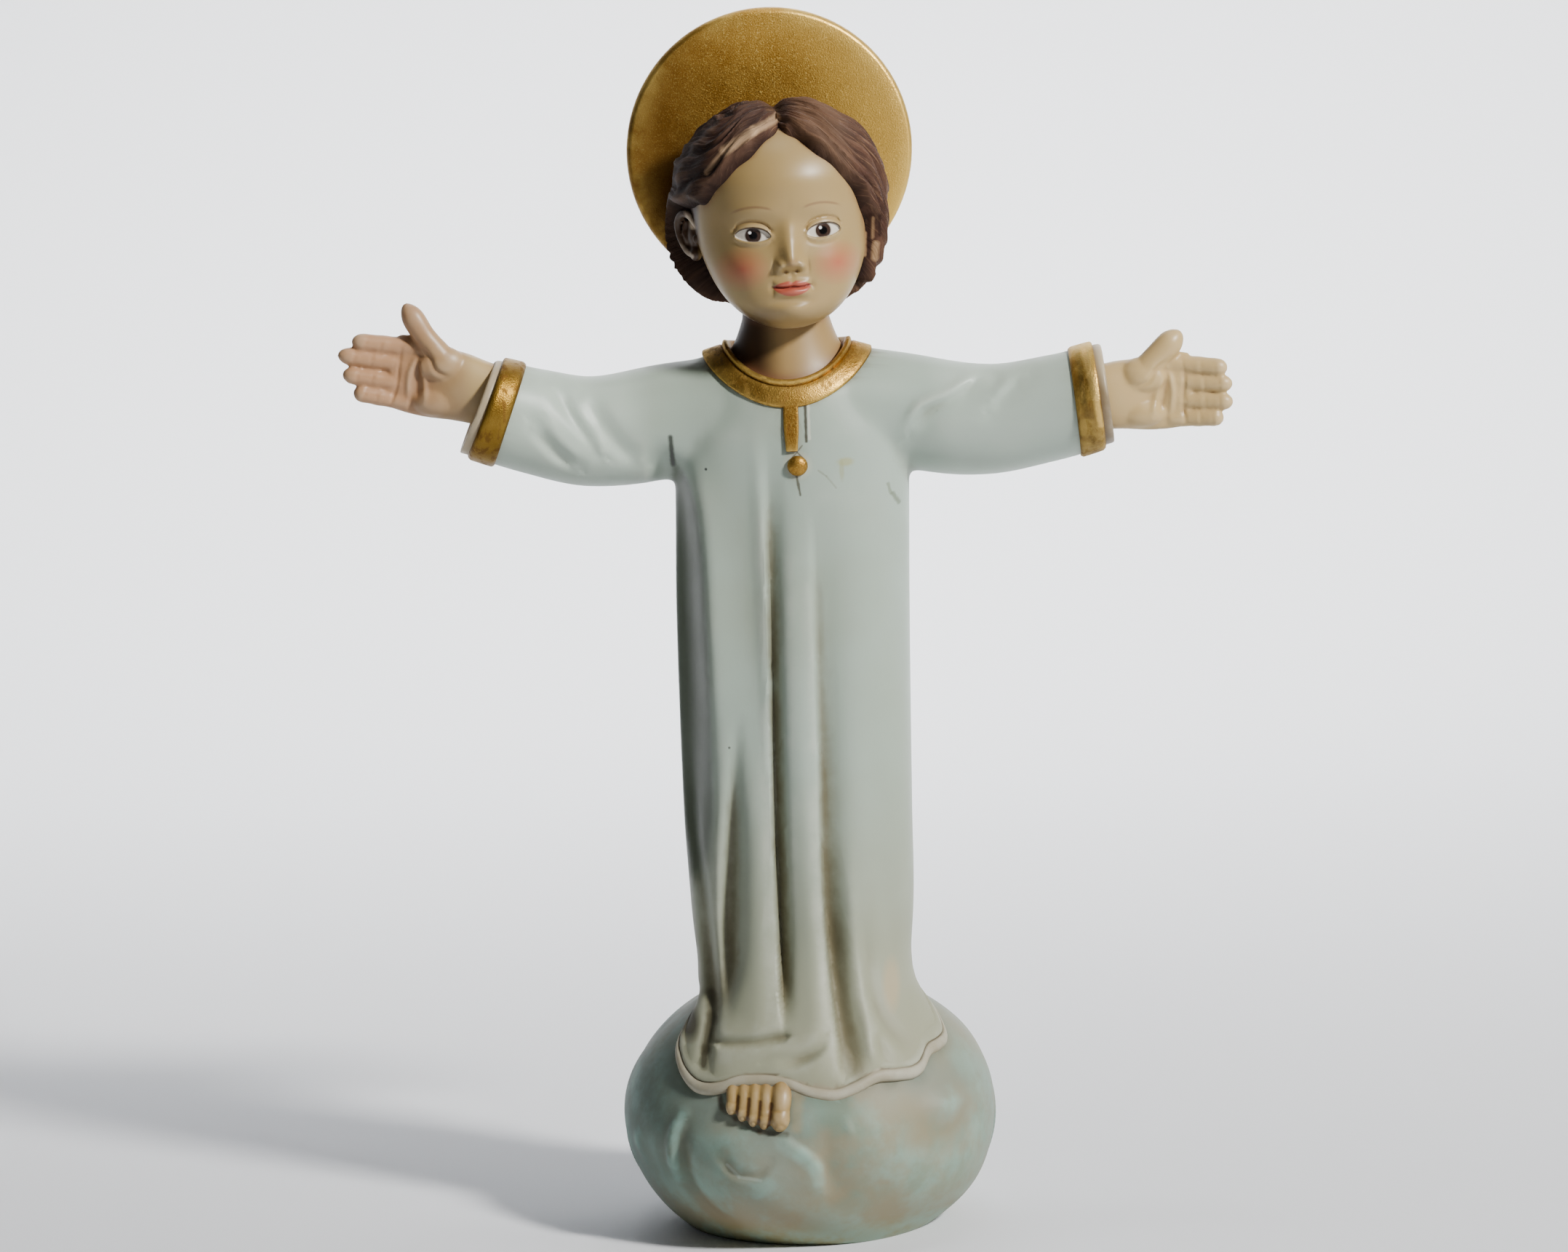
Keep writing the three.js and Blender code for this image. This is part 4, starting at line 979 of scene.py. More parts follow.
def hair_flow(turn, drop):
    """The strands' own coordinates: across them, and along them."""
    away = np.abs(turn)
    edge_drop = np.arccos(hair_edge(turn) / HEAD_HALF_HEIGHT)
    from_edge = edge_drop - drop
    falling = 2.2 - away * 0.9
    behind = smoothstep(away, 1.7, 2.5)
    sway = 0.05 * np.sin(away * 7.5 + drop * 2) * smoothstep(away, 0.1, 0.6)
    across = lerp(from_edge, falling, behind) + sway
    along = lerp(away, drop, behind)
    return across + np.where(turn < 0, 0.37, 0), along


def hair_lift(turn, drop):
    away = np.abs(turn)
    across, along = hair_flow(turn, drop)
    across = across * HEAD_HALF_HEIGHT
    along = along * HEAD_HALF_HEIGHT
    poles = smoothstep(np.sin(drop), 0, 0.35)
    wander = 1.1 * np.sin(along * 0.19 + across * 0.12) + 0.5 * np.sin(along * 0.43)
    locks = ripple(across, 6.2, 1, wander)
    waves = np.sin(along * 0.62 + across * 0.33) * smoothstep(along, 6, 16)
    strands = ripple(across, 1.9, 2, wander * 1.7 + 0.6 * np.sin(along * 0.7))
    fine = ripple(across, 0.85, 3, wander * 2.6)
    thick = 3.1 + 1.5 * bell(away - 1.5, 0.5) * bell(drop - 1.6, 0.6)
    thick = thick + np.where(turn < 0, 5.6, 0) * bell(away - 2.05, 0.3) * bell(drop - 1.8, 0.5)
    thick = thick - 2.4 * smoothstep(away, 2.0, 2.8)
    # The crown rises in two soft lobes beside the parting
    x, y, z = head_place(turn, drop, relief=False).transpose(2, 0, 1)
    on_crown = smoothstep(-y, -8, 2) * smoothstep(z, 8, 16)
    thick = thick + (0.7 * bell(np.abs(x) - 7, 4.5) - 1.9 * bell(x, 1.7)) * on_crown
    return thick + (0.5 * locks + 0.24 * waves + 0.17 * strands + 0.08 * fine) * poles


def hair():
    even = np.linspace(-math.pi, math.pi, 421)
    turns = 0.7 * even + 0.3 * even**3 / math.pi**2
    drops = np.linspace(0, math.pi, 261)
    turns, drops = np.meshgrid(turns, drops)
    bare = head_place(turns, drops, relief=False)
    _, along = hair_flow(turns, drops)
    fringe = 0.55 * ripple(along * HEAD_HALF_HEIGHT, 13.0, 5)
    above = bare[..., 2] - hair_edge(turns) + fringe
    shown = smoothstep(above, -0.9, 1.5)
    buried = -1.5 - 3.5 * smoothstep(-above, 1, 6)
    lift = lerp(buried, hair_lift(turns, drops), shown)
    size = np.linalg.norm(bare, axis=-1, keepdims=True)
    place = bare * (1 + lift[..., None] / size)
    place[..., 1] = np.minimum(place[..., 1], HEAD_BACK)
    place[:, -1] = place[:, 0]
    place[[0, -1]] = place[[0, -1]].mean(1, keepdims=True)
    locks = skin_of("hair", on_figure(place))
    return painted(thinned(locks, TRIANGLES["hair"]), HAIR)


def ear(side):
    """A small ear: shell, rim and lobe, partly under the hair."""
    inward = 1.3

    def at(x, y, z):
        return on_figure(np.array([side * (x - inward), y, z]))

    rim = [
        ((21.2, -1.8, -2.4), 0.6), ((22.4, -2.2, 0.4), 0.75), ((23.8, -0.8, 2.7), 0.9),
        ((25.2, 1.8, 2.9), 1.0), ((26.2, 4.0, 0.9), 1.0), ((26, 4.2, -2.2), 0.95),
        ((24.8, 2.6, -5.4), 1.0), ((23, 0.4, -7.4), 1.2),
    ]
    fold = [((24.2, 2.0, 1.4), 0.5), ((24.9, 2.6, -1), 0.65), ((24.0, 1.6, -4.3), 0.7)]
    forms = [
        limb("ear_rim", [(at(*place), radius) for place, radius in rim], 20, 60, 1.0, 0.1, (0, 0.6, 0.8)),
        limb("ear_fold", [(at(*place), radius) for place, radius in fold], 16, 30, 1.0, 0.2, (0, 0.6, 0.8)),
        ball("ear_shell", at(22.2, 1.6, -2.0), (2.0, 3.0, 4.6)),
        ball("ear_lobe", at(22.6, 0.2, -6.9), (1.5, 1.7, 1.8)),
        ball("ear_tab", at(22.2, -2.0, -3.2), (1.1, 0.9, 1.3)),
    ]
    made = one_skin("ear", forms, VOXEL["ear"])
    relax(made.data, 2, 0.4)
    return painted(thinned(made, TRIANGLES["ear"]), SKIN)


def halo():
    edge = 1.3
    outline = [(radius, -1) for radius in np.linspace(0, HALO_RADIUS - edge, 13)]
    for turn in np.linspace(0.3, math.pi - 0.3, 7):
        outline.append((HALO_RADIUS - edge + edge * math.sin(turn), -math.cos(turn)))
    outline += [(radius, 1) for radius in np.linspace(HALO_RADIUS - edge, 0, 5)]
    form = bmesh.new()
    rim = [form.verts.new((radius, share * HALO_THICKNESS / 2, 0)) for radius, share in outline]
    for first, second in zip(rim[:-1], rim[1:]):
        form.edges.new((first, second))
    section = [*form.verts, *form.edges]
    round_y = {"cent": (0, 0, 0), "axis": (0, 1, 0), "angle": 2 * math.pi}
    bmesh.ops.spin(form, geom=section, steps=112, use_merge=True, **round_y)
    bmesh.ops.remove_doubles(form, verts=form.verts, dist=1e-3)
    bmesh.ops.recalc_face_normals(form, faces=form.faces)
    bmesh.ops.rotate(form, cent=(0, 0, 0), matrix=Matrix.Rotation(HEAD_TURN, 3, "Z"), verts=form.verts)
    bmesh.ops.translate(form, vec=Vector(HALO_CENTRE), verts=form.verts)
    return painted(piece_of("halo", form), GOLD)


# Soft puffs of the cloud: place seen from the front, reach and rise
PUFFS = (
    (-14.3, 21, 12.5, 2.6), (15, 25.7, 8, 1.0), (32.3, 34, 4.2, 2.2), (-38, 27, 8, 0.8),
    (12, 6, 12, 0.9), (26, 16, 9, 0.9),
)
# Lines between the puffs: places, width above and below, and depth
CLOUD_CREASES = (
    (((-30.6, 31), (-31.2, 25.9), (-30.3, 18), (-25.9, 11.2), (-19.9, 6.9)), 1.8, 1.8, 1.2),
    (((-21.5, 25.2), (-18.6, 21.8), (-13.4, 21), (-9.8, 24)), 1.5, 0.8, 0.6),
    (((4.6, 36), (3.6, 30), (4.4, 22), (8, 13)), 2.8, 2.8, 0.5),
    (((-26, 33.5), (-16, 33), (-6, 29)), 2.4, 2.4, 0.6),
)
CLOUD_RIDGES = (
    (((-30.8, 34.4), (-32.8, 29.5), (-33.4, 23), (-32.3, 18)), 1.2, 1.2, 1.2),
    (((-41.6, 28), (-42, 24.5), (-40.8, 20.5)), 1.0, 1.0, 0.5),
    (((-8, 30.5), (-3, 27.5), (1, 24), (2.4, 19)), 0.9, 3.0, 0.8),
    (((8.4, 34), (9.6, 30)), 0.9, 0.9, 0.4),
)


def cloud():
    form = bmesh.new()
    bmesh.ops.create_icosphere(form, subdivisions=7, radius=1)
    mesh = bpy.data.meshes.new("cloud")
    form.to_mesh(mesh)
    way = places_of(mesh)
    place = way * np.array(CLOUD_HALF) + np.array([0, 0, CLOUD_CENTRE_Z])
    x, y, z = place.T
    facing = np.where(y < 0, 1.0, -1.0)
    seen = x * facing
    lift = 0.3 * np.sin(seen * 0.13 + z * 0.17 + facing) + 0.3
    for px, pz, reach, rise in PUFFS:
        lift = lift + rise * bell(np.hypot(seen - px, z - pz), reach)
    strength = np.where(y < 0, smoothstep(-y, 4, 14), 0.8 * smoothstep(y, 4, 14))
    lift = lift - drawn(seen, z, CLOUD_CREASES) * strength
    lift = lift + drawn(seen, z, CLOUD_RIDGES) * strength
    put_places(mesh, place + way * lift[:, None])
    form.clear()
    form.from_mesh(mesh)
    geometry = [*form.verts, *form.edges, *form.faces]
    plane = {"plane_co": (0, 0, 0), "plane_no": (0, 0, -1)}
    sliced = bmesh.ops.bisect_plane(form, geom=geometry, clear_outer=True, **plane)
    rim = [part for part in sliced["geom_cut"] if isinstance(part, bmesh.types.BMEdge)]
    bmesh.ops.edgeloop_fill(form, edges=rim)
    bmesh.ops.recalc_face_normals(form, faces=form.faces)
    form.to_mesh(mesh)
    form.free()
    return painted(thinned(object_of("cloud", mesh), TRIANGLES["cloud"]), CLOUD)


# Paint: shader networks, in which a node's output is written with as with a number
def linear(red, green, blue):
    """A paint colour from its 8-bit screen values."""
    def channel(value):
        value = value / 255
        return value / 12.92 if value <= 0.04045 else ((value + 0.055) / 1.055) ** 2.4

    return (channel(red), channel(green), channel(blue), 1.0)


class Value:
    """One node's output, with the sums that masks and colours are made by."""

    def __init__(self, socket):
        self.socket = socket

    def __add__(self, other):
        return maths("ADD", self, other)

    def __sub__(self, other):
        return maths("SUBTRACT", self, other)

    def __rsub__(self, other):
        return maths("SUBTRACT", other, self)

    def __mul__(self, other):
        return maths("MULTIPLY", self, other)

    def __truediv__(self, other):
        return maths("DIVIDE", self, other)

    def __pow__(self, other):
        return maths("POWER", self, other)

    def __abs__(self):
        return maths("ABSOLUTE", self)

    def clamped(self):
        """The same sum, kept between nothing and one."""
        self.socket.node.use_clamp = True
        return self


def feed(socket, value):
    """Gives a socket another node's output, or a plain value."""
    if isinstance(value, Value):
        socket.id_data.links.new(value.socket, socket)
    else:
        socket.default_value = value


def tree_behind(inputs):
    return next(value.socket.id_data for value in inputs.values() if isinstance(value, Value))


def node(kind, inputs, tree=None, **settings):
    """The outputs of a new node with its settings and inputs, in the tree that the inputs come from."""
    made = (tree or tree_behind(inputs)).nodes.new(kind)
    for key, value in settings.items():
        setattr(made, key, value)
    for key, value in inputs.items():
        feed(made.inputs[key], value)
    return made.outputs


def maths(operation, first, second=0.0):
    return Value(node("ShaderNodeMath", {0: first, 1: second}, operation=operation)[0])


def vector_maths(operation, first, second):
    return Value(node("ShaderNodeVectorMath", {0: first, 1: second}, operation=operation)["Value"])


def joined(x, y, z=0.0):
    return Value(node("ShaderNodeCombineXYZ", {0: x, 1: y, 2: z})[0])


def parted(place):
    return [Value(socket) for socket in node("ShaderNodeSeparateXYZ", {0: place})]


def diagonal(across, up):
    return maths("SQRT", across * across + up * up)


def ramp(value, start, end, low=0.0, high=1.0):
    """A soft step from low to high while the value goes from start to end."""
    ends = {"From Min": start, "From Max": end, "To Min": low, "To Max": high}
    return Value(node("ShaderNodeMapRange", {"Value": value, **ends}, interpolation_type="SMOOTHSTEP")[0])


def mixed(share, first, second, blend="MIX"):
    colours = {0: share, 6: first, 7: second}
    made = node("ShaderNodeMix", colours, data_type="RGBA", blend_type=blend, clamp_factor=True)
    return Value(made[2])


def tinted(colour, where, share, tone):
    """A colour with a share of a tone laid over it where a mask says."""
    return mixed(where * share, colour, tone)


def noise(place, scale, detail=3.0, roughness=0.55):
    settings = {"Vector": place, "Scale": scale, "Detail": detail, "Roughness": roughness}
    return Value(node("ShaderNodeTexNoise", settings)["Fac"])


def attribute(tree, name, out="Fac"):
    kind = "ShaderNodeAttribute"
    return Value(node(kind, {}, tree, attribute_name=name, attribute_type="GEOMETRY")[out])


def object_place(tree):
    return Value(node("ShaderNodeTexCoord", {}, tree)["Object"])


def scaled(place, *scale):
    return Value(node("ShaderNodeMapping", {"Vector": place, "Scale": scale})[0])


def in_millimetres(tree):
    return scaled(object_place(tree), 1 / MILLIMETRE, 1 / MILLIMETRE, 1 / MILLIMETRE)


def on_front(y):
    return ramp(y, -1.0, -6.0)


def new_group(name, inputs, outputs):
    """A group's tree, its inputs' values by name, and its outputs' sockets."""
    kinds = {3: "NodeSocketVector", 4: "NodeSocketColor"}
    tree = bpy.data.node_groups.new(name, "ShaderNodeTree")
    for label, value in inputs.items():
        kind = kinds[len(value)] if isinstance(value, tuple) else "NodeSocketFloat"
        tree.interface.new_socket(name=label, in_out="INPUT", socket_type=kind).default_value = value
    for label in outputs:
        kind = "NodeSocketColor" if label == "Color" else "NodeSocketFloat"
        tree.interface.new_socket(name=label, in_out="OUTPUT", socket_type=kind)
    given = {socket.name: Value(socket) for socket in tree.nodes.new("NodeGroupInput").outputs}
    return tree, given, tree.nodes.new("NodeGroupOutput").inputs


def grouped(group, **inputs):
    """A group's outputs by name. An input's name is written with low lines for its spaces."""
    named = {label.replace("_", " "): value for label, value in inputs.items()}
    made = node("ShaderNodeGroup", named, node_tree=group)
    return {socket.name: Value(socket) for socket in made}


def antique_group():
    """Brown wash left in the creases, partly painted shade there, and paint rubbed thin on the edges."""
    tree, given, out = new_group(
        "antique_paint",
        {
            "Paint": (0.5, 0.5, 0.5, 1), "Wash": linear(120, 92, 60), "Rubbed": linear(220, 210, 190),
            "Wash Amount": 0.7, "Rub Amount": 0.3, "Mottle": 0.15,
        },
        ("Color", "Roughness", "Height"),
    )
    place = object_place(tree)
    patchy = noise(place, 90, 4, 0.6)
    cloudy = ramp(noise(place, 22, 3, 0.5), 0.35, 0.65)
    fine = noise(place, 900, 2, 0.5)
    # The wash darkens hollows and creases: partly a brown antiquing wash, partly painted shade
    wash = attribute(tree, "hollow") * 0.45 + attribute(tree, "crease")
    wash = wash * ramp(patchy, 0.25, 0.7, 0.55, 1.15)
    wash = (wash * given["Wash Amount"]).clamped()
    rub = attribute(tree, "edge") * ramp(patchy, 0.35, 0.65, 0.2, 1.0)
    rub = (rub * given["Rub Amount"]).clamped()
    darker = mixed(1.0, given["Paint"], linear(225, 216, 200), "MULTIPLY")
    paint = mixed(cloudy * given["Mottle"], given["Paint"], darker)
    paint = mixed(rub, paint, given["Rubbed"])
    feed(out["Color"], mixed(wash, paint, given["Wash"]))
    feed(out["Roughness"], wash * 0.2 + (patchy * 0.16 + 0.33))
    feed(out["Height"], fine * 0.25 + patchy)
    return tree


def spot_group():
    """A round soft spot on the front, by its place in millimetres."""
    sizes = {"Place": (0, 0, 0), "X": 0, "Z": 0, "Width": 1, "Height": 1, "Softness": 0.3}
    tree, given, out = new_group("spot", sizes, ["Mask"])
    x, y, z = parted(given["Place"])
    far = diagonal((x - given["X"]) / given["Width"], (z - given["Z"]) / given["Height"])
    start = 1.0 - given["Softness"]
    end = given["Softness"] + 1.0
    share = ((end - far) / (end - start)).clamped()
    feed(out["Mask"], share * on_front(y))
    return tree


def stroke_group():
    """A straight painted stroke on the front, between two places in millimetres."""
    sizes = {"Place": (0, 0, 0), "Start X": 0, "Start Z": 0, "End X": 1, "End Z": 1, "Width": 0.3}
    tree, given, out = new_group("stroke", sizes, ["Mask"])
    wobble = noise(given["Place"], 0.6, 2.0, 0.5)
    x, y, z = parted(given["Place"])
    off = joined(x - given["Start X"], z - given["Start Z"])
    ahead = joined(given["End X"] - given["Start X"], given["End Z"] - given["Start Z"])
    along = vector_maths("DOT_PRODUCT", off, ahead)
    share = (along / vector_maths("DOT_PRODUCT", ahead, ahead)).clamped()
    nearest = Value(node("ShaderNodeVectorMath", {0: ahead, "Scale": share}, operation="SCALE")[0])
    far = (wobble - 0.5) * 0.5 + vector_maths("DISTANCE", off, nearest)
    line = (1.5 - far / given["Width"]).clamped()
    feed(out["Mask"], line * on_front(y))
    return tree


def new_material(name):
    material = bpy.data.materials.new(name)
    material.use_nodes = True
    tree = material.node_tree
    return material, tree, tree.nodes["Principled BSDF"].inputs


def surfaced(shader, colour, roughness, height, strength, distance):
    """Gives a paint's shader its colour, roughness and fine relief."""
    feed(shader["Base Color"], colour)
    feed(shader["Roughness"], roughness)
    relief = {"Height": height, "Strength": strength, "Distance": distance}
    feed(shader["Normal"], Value(node("ShaderNodeBump", relief)[0]))


def with_strokes(stroke, place, colour, strokes):
    for start_x, start_z, end_x, end_z, width, tone, share in strokes:
        line = {"Start X": start_x, "Start Z": start_z, "End X": end_x, "End Z": end_z, "Width": width}
        colour = tinted(colour, grouped(stroke, Place=place, **line)["Mask"], share, tone)
    return colour


def with_spots(spot, place, colour, spots):
    for x, z, width, height, softness, tone, share in spots:
        size = {"X": x, "Z": z, "Width": width, "Height": height, "Softness": softness}
        colour = tinted(colour, grouped(spot, Place=place, **size)["Mask"], share, tone)
    return colour


def robe_paint(antique, spot, stroke):
    material, tree, shader = new_material("robe_paint")
    in_mm = in_millimetres(tree)
    x, _, z = parted(in_mm)
    low = ramp(z, 128, 46)
    base = mixed(low, linear(160, 175, 163), linear(147, 149, 126))
    base = tinted(base, attribute(tree, "hem"), 0.85, linear(152, 143, 120))
    base = tinted(base, attribute(tree, "seam"), 0.85, linear(80, 64, 46))
    out = grouped(
        antique, Paint=base, Wash=linear(104, 96, 70), Rubbed=linear(206, 208, 196),
        Wash_Amount=0.6, Rub_Amount=0.35, Mottle=0.35,
    )
    # The front's grooves are darkened unevenly by their depth, as painted shade on top of the wash
    uneven = ramp(noise(object_place(tree), 120, 4, 0.6), 0.3, 0.65, 0.4, 0.8)
    colour = mixed(attribute(tree, "fold") * uneven, out["Color"], linear(98, 92, 68))
    # The flat side on the left is painted dark, as painted shade
    colour = tinted(colour, attribute(tree, "side"), 0.95, linear(74, 82, 66))
    # The sleeves are painted lighter, as painted light on them
    colour = tinted(colour, ramp(abs(x), 32, 42), 0.45, linear(194, 208, 196))
    # Worn and faded spots, and a painted shadow low on the left where the robe meets the cloud
    colour = with_spots(spot, in_mm, colour, (
        (13.4, 192.6, 1.9, 1.0, 0.35, linear(160, 158, 104), 0.6),
        (12.4, 190.6, 0.6, 2.4, 0.35, linear(150, 152, 112), 0.5),
        (20.8, 63.0, 2.0, 5.4, 0.35, linear(190, 160, 120), 0.35),
        (-29.4, 54.6, 2.6, 3.6, 0.35, linear(62, 56, 40), 0.85),
        (-20.6, 191.4, 0.32, 0.34, 0.35, linear(30, 30, 36), 0.9),
        (-17.1, 123.0, 0.3, 0.3, 0.35, linear(60, 60, 56), 0.8),
        (1.7, 192.2, 2.9, 2.9, 0.35, linear(206, 202, 180), 0.5),
    ))
    # Lines beside and under the button, scratches, painted shade in the left armpit, and painted shade in
    # the grooves above the hem
    scratch, groove_shade, shade = linear(112, 112, 88), linear(62, 58, 40), linear(106, 100, 76)
    colour = with_strokes(stroke, in_mm, colour, (
        (4.0, 206.6, 4.0, 198.0, 0.34, linear(56, 48, 34), 0.9),
        (4.8, 206.4, 4.8, 198.6, 0.3, linear(206, 208, 192), 0.6),
        (0.4, 197.0, 3.0, 194.0, 0.2, linear(70, 60, 44), 0.7),
        (3.0, 197.0, 0.6, 194.2, 0.2, linear(70, 60, 44), 0.7),
        (1.4, 189.6, 2.2, 185.0, 0.3, linear(66, 58, 42), 0.8),
        (6.7, 190.8, 8.6, 189.4, 0.24, scratch, 0.4),
        (8.6, 189.4, 10.9, 186.4, 0.24, scratch, 0.35),
        (23.6, 186.2, 24.3, 183.8, 0.4, linear(118, 128, 108), 0.7),
        (24.7, 183.6, 26.2, 181.2, 0.5, linear(104, 112, 92), 0.7),
        # Painted shade in the left armpit
        (-29.0, 199.2, -28.6, 192.0, 0.6, linear(46, 48, 42), 0.9),
        # Painted shade down the groove on the left and in the valley on the right
        (-23.5, 61.0, -23.6, 56.0, 1.2, groove_shade, 0.6),
        (-23.6, 56.0, -25.3, 49.4, 1.2, groove_shade, 0.85),
        (-25.3, 49.4, -25.9, 46.0, 0.9, groove_shade, 0.85),
        (7.8, 64.0, 9.8, 54.0, 1.5, shade, 0.5),
        (9.8, 54.0, 12.0, 45.0, 1.8, shade, 0.65),
    ))
    surfaced(shader, colour, low * 0.14 + out["Roughness"], out["Height"], 0.25, 0.0002)
    shader["Specular IOR Level"].default_value = 0.36
    return material


def head_place_of(tree):
    """Millimetres in the head's own frame."""
    frame_of_head = {
        "Vector": object_place(tree), "Location": Vector(HEAD_CENTRE) * MILLIMETRE,
        "Rotation": Matrix(HEAD_WAY.tolist()).to_euler("XYZ"), "Scale": (MILLIMETRE,) * 3,
    }
    return Value(node("ShaderNodeMapping", frame_of_head, vector_type="TEXTURE")[0])


def face_group(spot):
    """Where the face is painted: whites, iris, pupil, glint, lash line, brows, lips and blush."""
    labels = ("White", "Iris", "Pupil", "Glint", "Lash", "Brow", "Lip", "Lip Line", "Blush", "Rubbed")
    tree, given, out = new_group("face_paint", {"Place": (0, 0, 0)}, labels)
    place = given["Place"]
    x, y, z = parted(place)
    front = ramp(y, -6, -10)
    side = abs(x)
    folded = joined(side, y, z)

    def lay(label, value):
        feed(out[label], value * front)

    def spotted(where, spot_x, spot_z, width, height, softness):
        size = {"X": spot_x, "Z": spot_z, "Width": width, "Height": height, "Softness": softness}
        return grouped(spot, Place=where, **size)["Mask"]

    # Eye opening between its two lid lines
    u = (side - EYE_X) / EYE_HALF_WIDTH
    arch = maths("SQRT", (1.0 - u * u).clamped())
    v = z - EYE_Z - u * 0.25
    upper = arch**1.1 * UPPER_LID
    lower = arch**1.3 * -LOWER_LID
    opened = ramp(maths("MINIMUM", upper - v, v - lower), -0.05, 0.2)
    lay("White", opened)
    lay("Iris", spotted(folded, EYE_X - 0.1, EYE_Z + 0.25, 1.95, 1.95, 0.1) * opened)
    lay("Pupil", spotted(folded, EYE_X - 0.1, EYE_Z + 0.25, 1.0, 1.0, 0.14) * opened)
    left = spotted(place, EYE_X - 0.75, EYE_Z + 0.95, 0.36, 0.36, 0.25)
    right = spotted(place, -EYE_X - 0.65, EYE_Z + 0.95, 0.36, 0.36, 0.25)
    lay("Glint", maths("MAXIMUM", left, right) * opened)
    near_eye = ramp(abs(u), 1.12, 0.95)
    lay("Lash", ramp(abs(v - upper - 0.05), 0.34, 0.12) * near_eye)
    # Brow: a thin arc that thins outward
    brow_line = abs(side - 8.2) ** 2.0 * -0.045 + (BROW_Z + 1.1)
    brow = ramp(abs(z - brow_line), 0.5, 0.1)
    lay("Brow", brow * ramp(side, 3.2, 5.0) * ramp(side, 14.0, 11.4))
    # Lips
    lip = (side / MOUTH_HALF_WIDTH).clamped()
    width = maths("SQRT", (1.0 - lip**1.8).clamped())
    rise = z - MOUTH_Z
    top = width * (1.75 - ramp(side, 1.0, 0.0, 0.0, 0.4))
    bottom = width**1.3 * -2.3
    lay("Lip", ramp(maths("MINIMUM", top - rise, rise - bottom), -0.1, 0.35))
    seam = ramp(abs(rise - lip * lip * 0.35), 0.4, 0.08)
    lay("Lip Line", seam * ramp(side, MOUTH_HALF_WIDTH + 0.6, MOUTH_HALF_WIDTH - 0.4))
    lay("Blush", spotted(folded, 11.6, -10.4, 3.6, 3.0, 0.95))
    lay("Rubbed", spotted(place, 0.2, NOSE_Z + 0.1, 1.3, 1.1, 0.45))
    return tree


def skin_paint(antique, face, stroke):
    material, tree, shader = new_material("skin_paint")
    in_mm = in_millimetres(tree)
    x, _, z = parted(in_mm)
    off_hands = 1.0 - ramp(abs(x), 40, 50)
    on_face = ramp(z, 218, 228) * off_hands
    base = mixed(on_face, linear(188, 160, 109), linear(163, 138, 90))
    # The left hand's fingers take a pinker tone, and the hand is painted darker as painted shade, most on
    # its palm
    base = tinted(base, ramp(x, -78, -94), 0.7, linear(182, 130, 98))
    base = tinted(base, ramp(x, -75, -80) * ramp(x, -96, -89), 0.5, linear(152, 116, 84))
    # Painted shadow under the chin on the neck, deepest on its left
    throat = ramp(z, 233, 227) * ramp(z, 190, 200) * off_hands
    base = tinted(base, throat, 0.75, linear(142, 114, 70))
    base = tinted(base, ramp(x, 0.5, -7.5) * throat, 0.92, linear(46, 24, 10))
    # The foot is darker than the hands
    base = mixed(ramp(z, 66, 54), base, linear(148, 121, 70))
    out = grouped(
        antique, Paint=base, Wash=linear(112, 72, 44), Rubbed=linear(222, 204, 172),
        Wash_Amount=0.65, Rub_Amount=0.3, Mottle=0.2,
    )
    painted_face = grouped(face, Place=head_place_of(tree))
    colour = out["Color"]
    for label, tone, share in (
        ("Blush", linear(176, 88, 64), 0.82),
        ("White", linear(214, 206, 192), 1.0),
        ("Iris", linear(58, 44, 38), 1.0),
        ("Pupil", linear(12, 11, 12), 1.0),
        ("Lash", linear(52, 34, 28), 0.85),
        ("Brow", linear(120, 88, 62), 0.6),
        ("Lip", linear(168, 66, 54), 0.85),
        ("Lip Line", linear(96, 30, 26), 0.75),
        ("Rubbed", linear(132, 92, 58), 0.35),
        ("Glint", linear(250, 250, 248), 1.0),
    ):
        colour = tinted(colour, painted_face[label], share, tone)
    # The left ear and the skin beside it are painted dark as painted shade, with painted highlights on the
    # ear's rim and its lobe
    beside = ramp(x, -19.8, -21.2) * on_face
    low_ear = ramp(z, 262, 256) * ramp(z, 236, 240)
    colour = tinted(colour, beside * low_ear, 0.94, linear(56, 32, 20))
    ear_highlight = linear(214, 196, 172)
    # Painted shade in the gaps between the toes
    toe_gap_shade = linear(66, 38, 18)
    colour = with_strokes(stroke, in_mm, colour, (
        (-23.4, 253.8, -22.0, 249.8, 0.7, ear_highlight, 0.8),
        (-26.2, 248.6, -25.0, 244.6, 0.6, ear_highlight, 0.7),
        (-25.0, 244.6, -22.6, 242.4, 0.6, ear_highlight, 0.7),
        (-17.5, 40.0, -18.3, 34.4, 0.42, toe_gap_shade, 0.85),
        (-14.9, 39.5, -15.7, 33.2, 0.42, toe_gap_shade, 0.85),
        (-12.2, 39.0, -13.1, 32.2, 0.42, toe_gap_shade, 0.85),
        (-9.5, 38.5, -10.6, 32.0, 0.45, toe_gap_shade, 0.85),
    ))
    # The eyes are glossy
    roughness = painted_face["White"] * -0.3 + out["Roughness"]
    surfaced(shader, colour, roughness, out["Height"], 0.12, 0.0002)
    return material


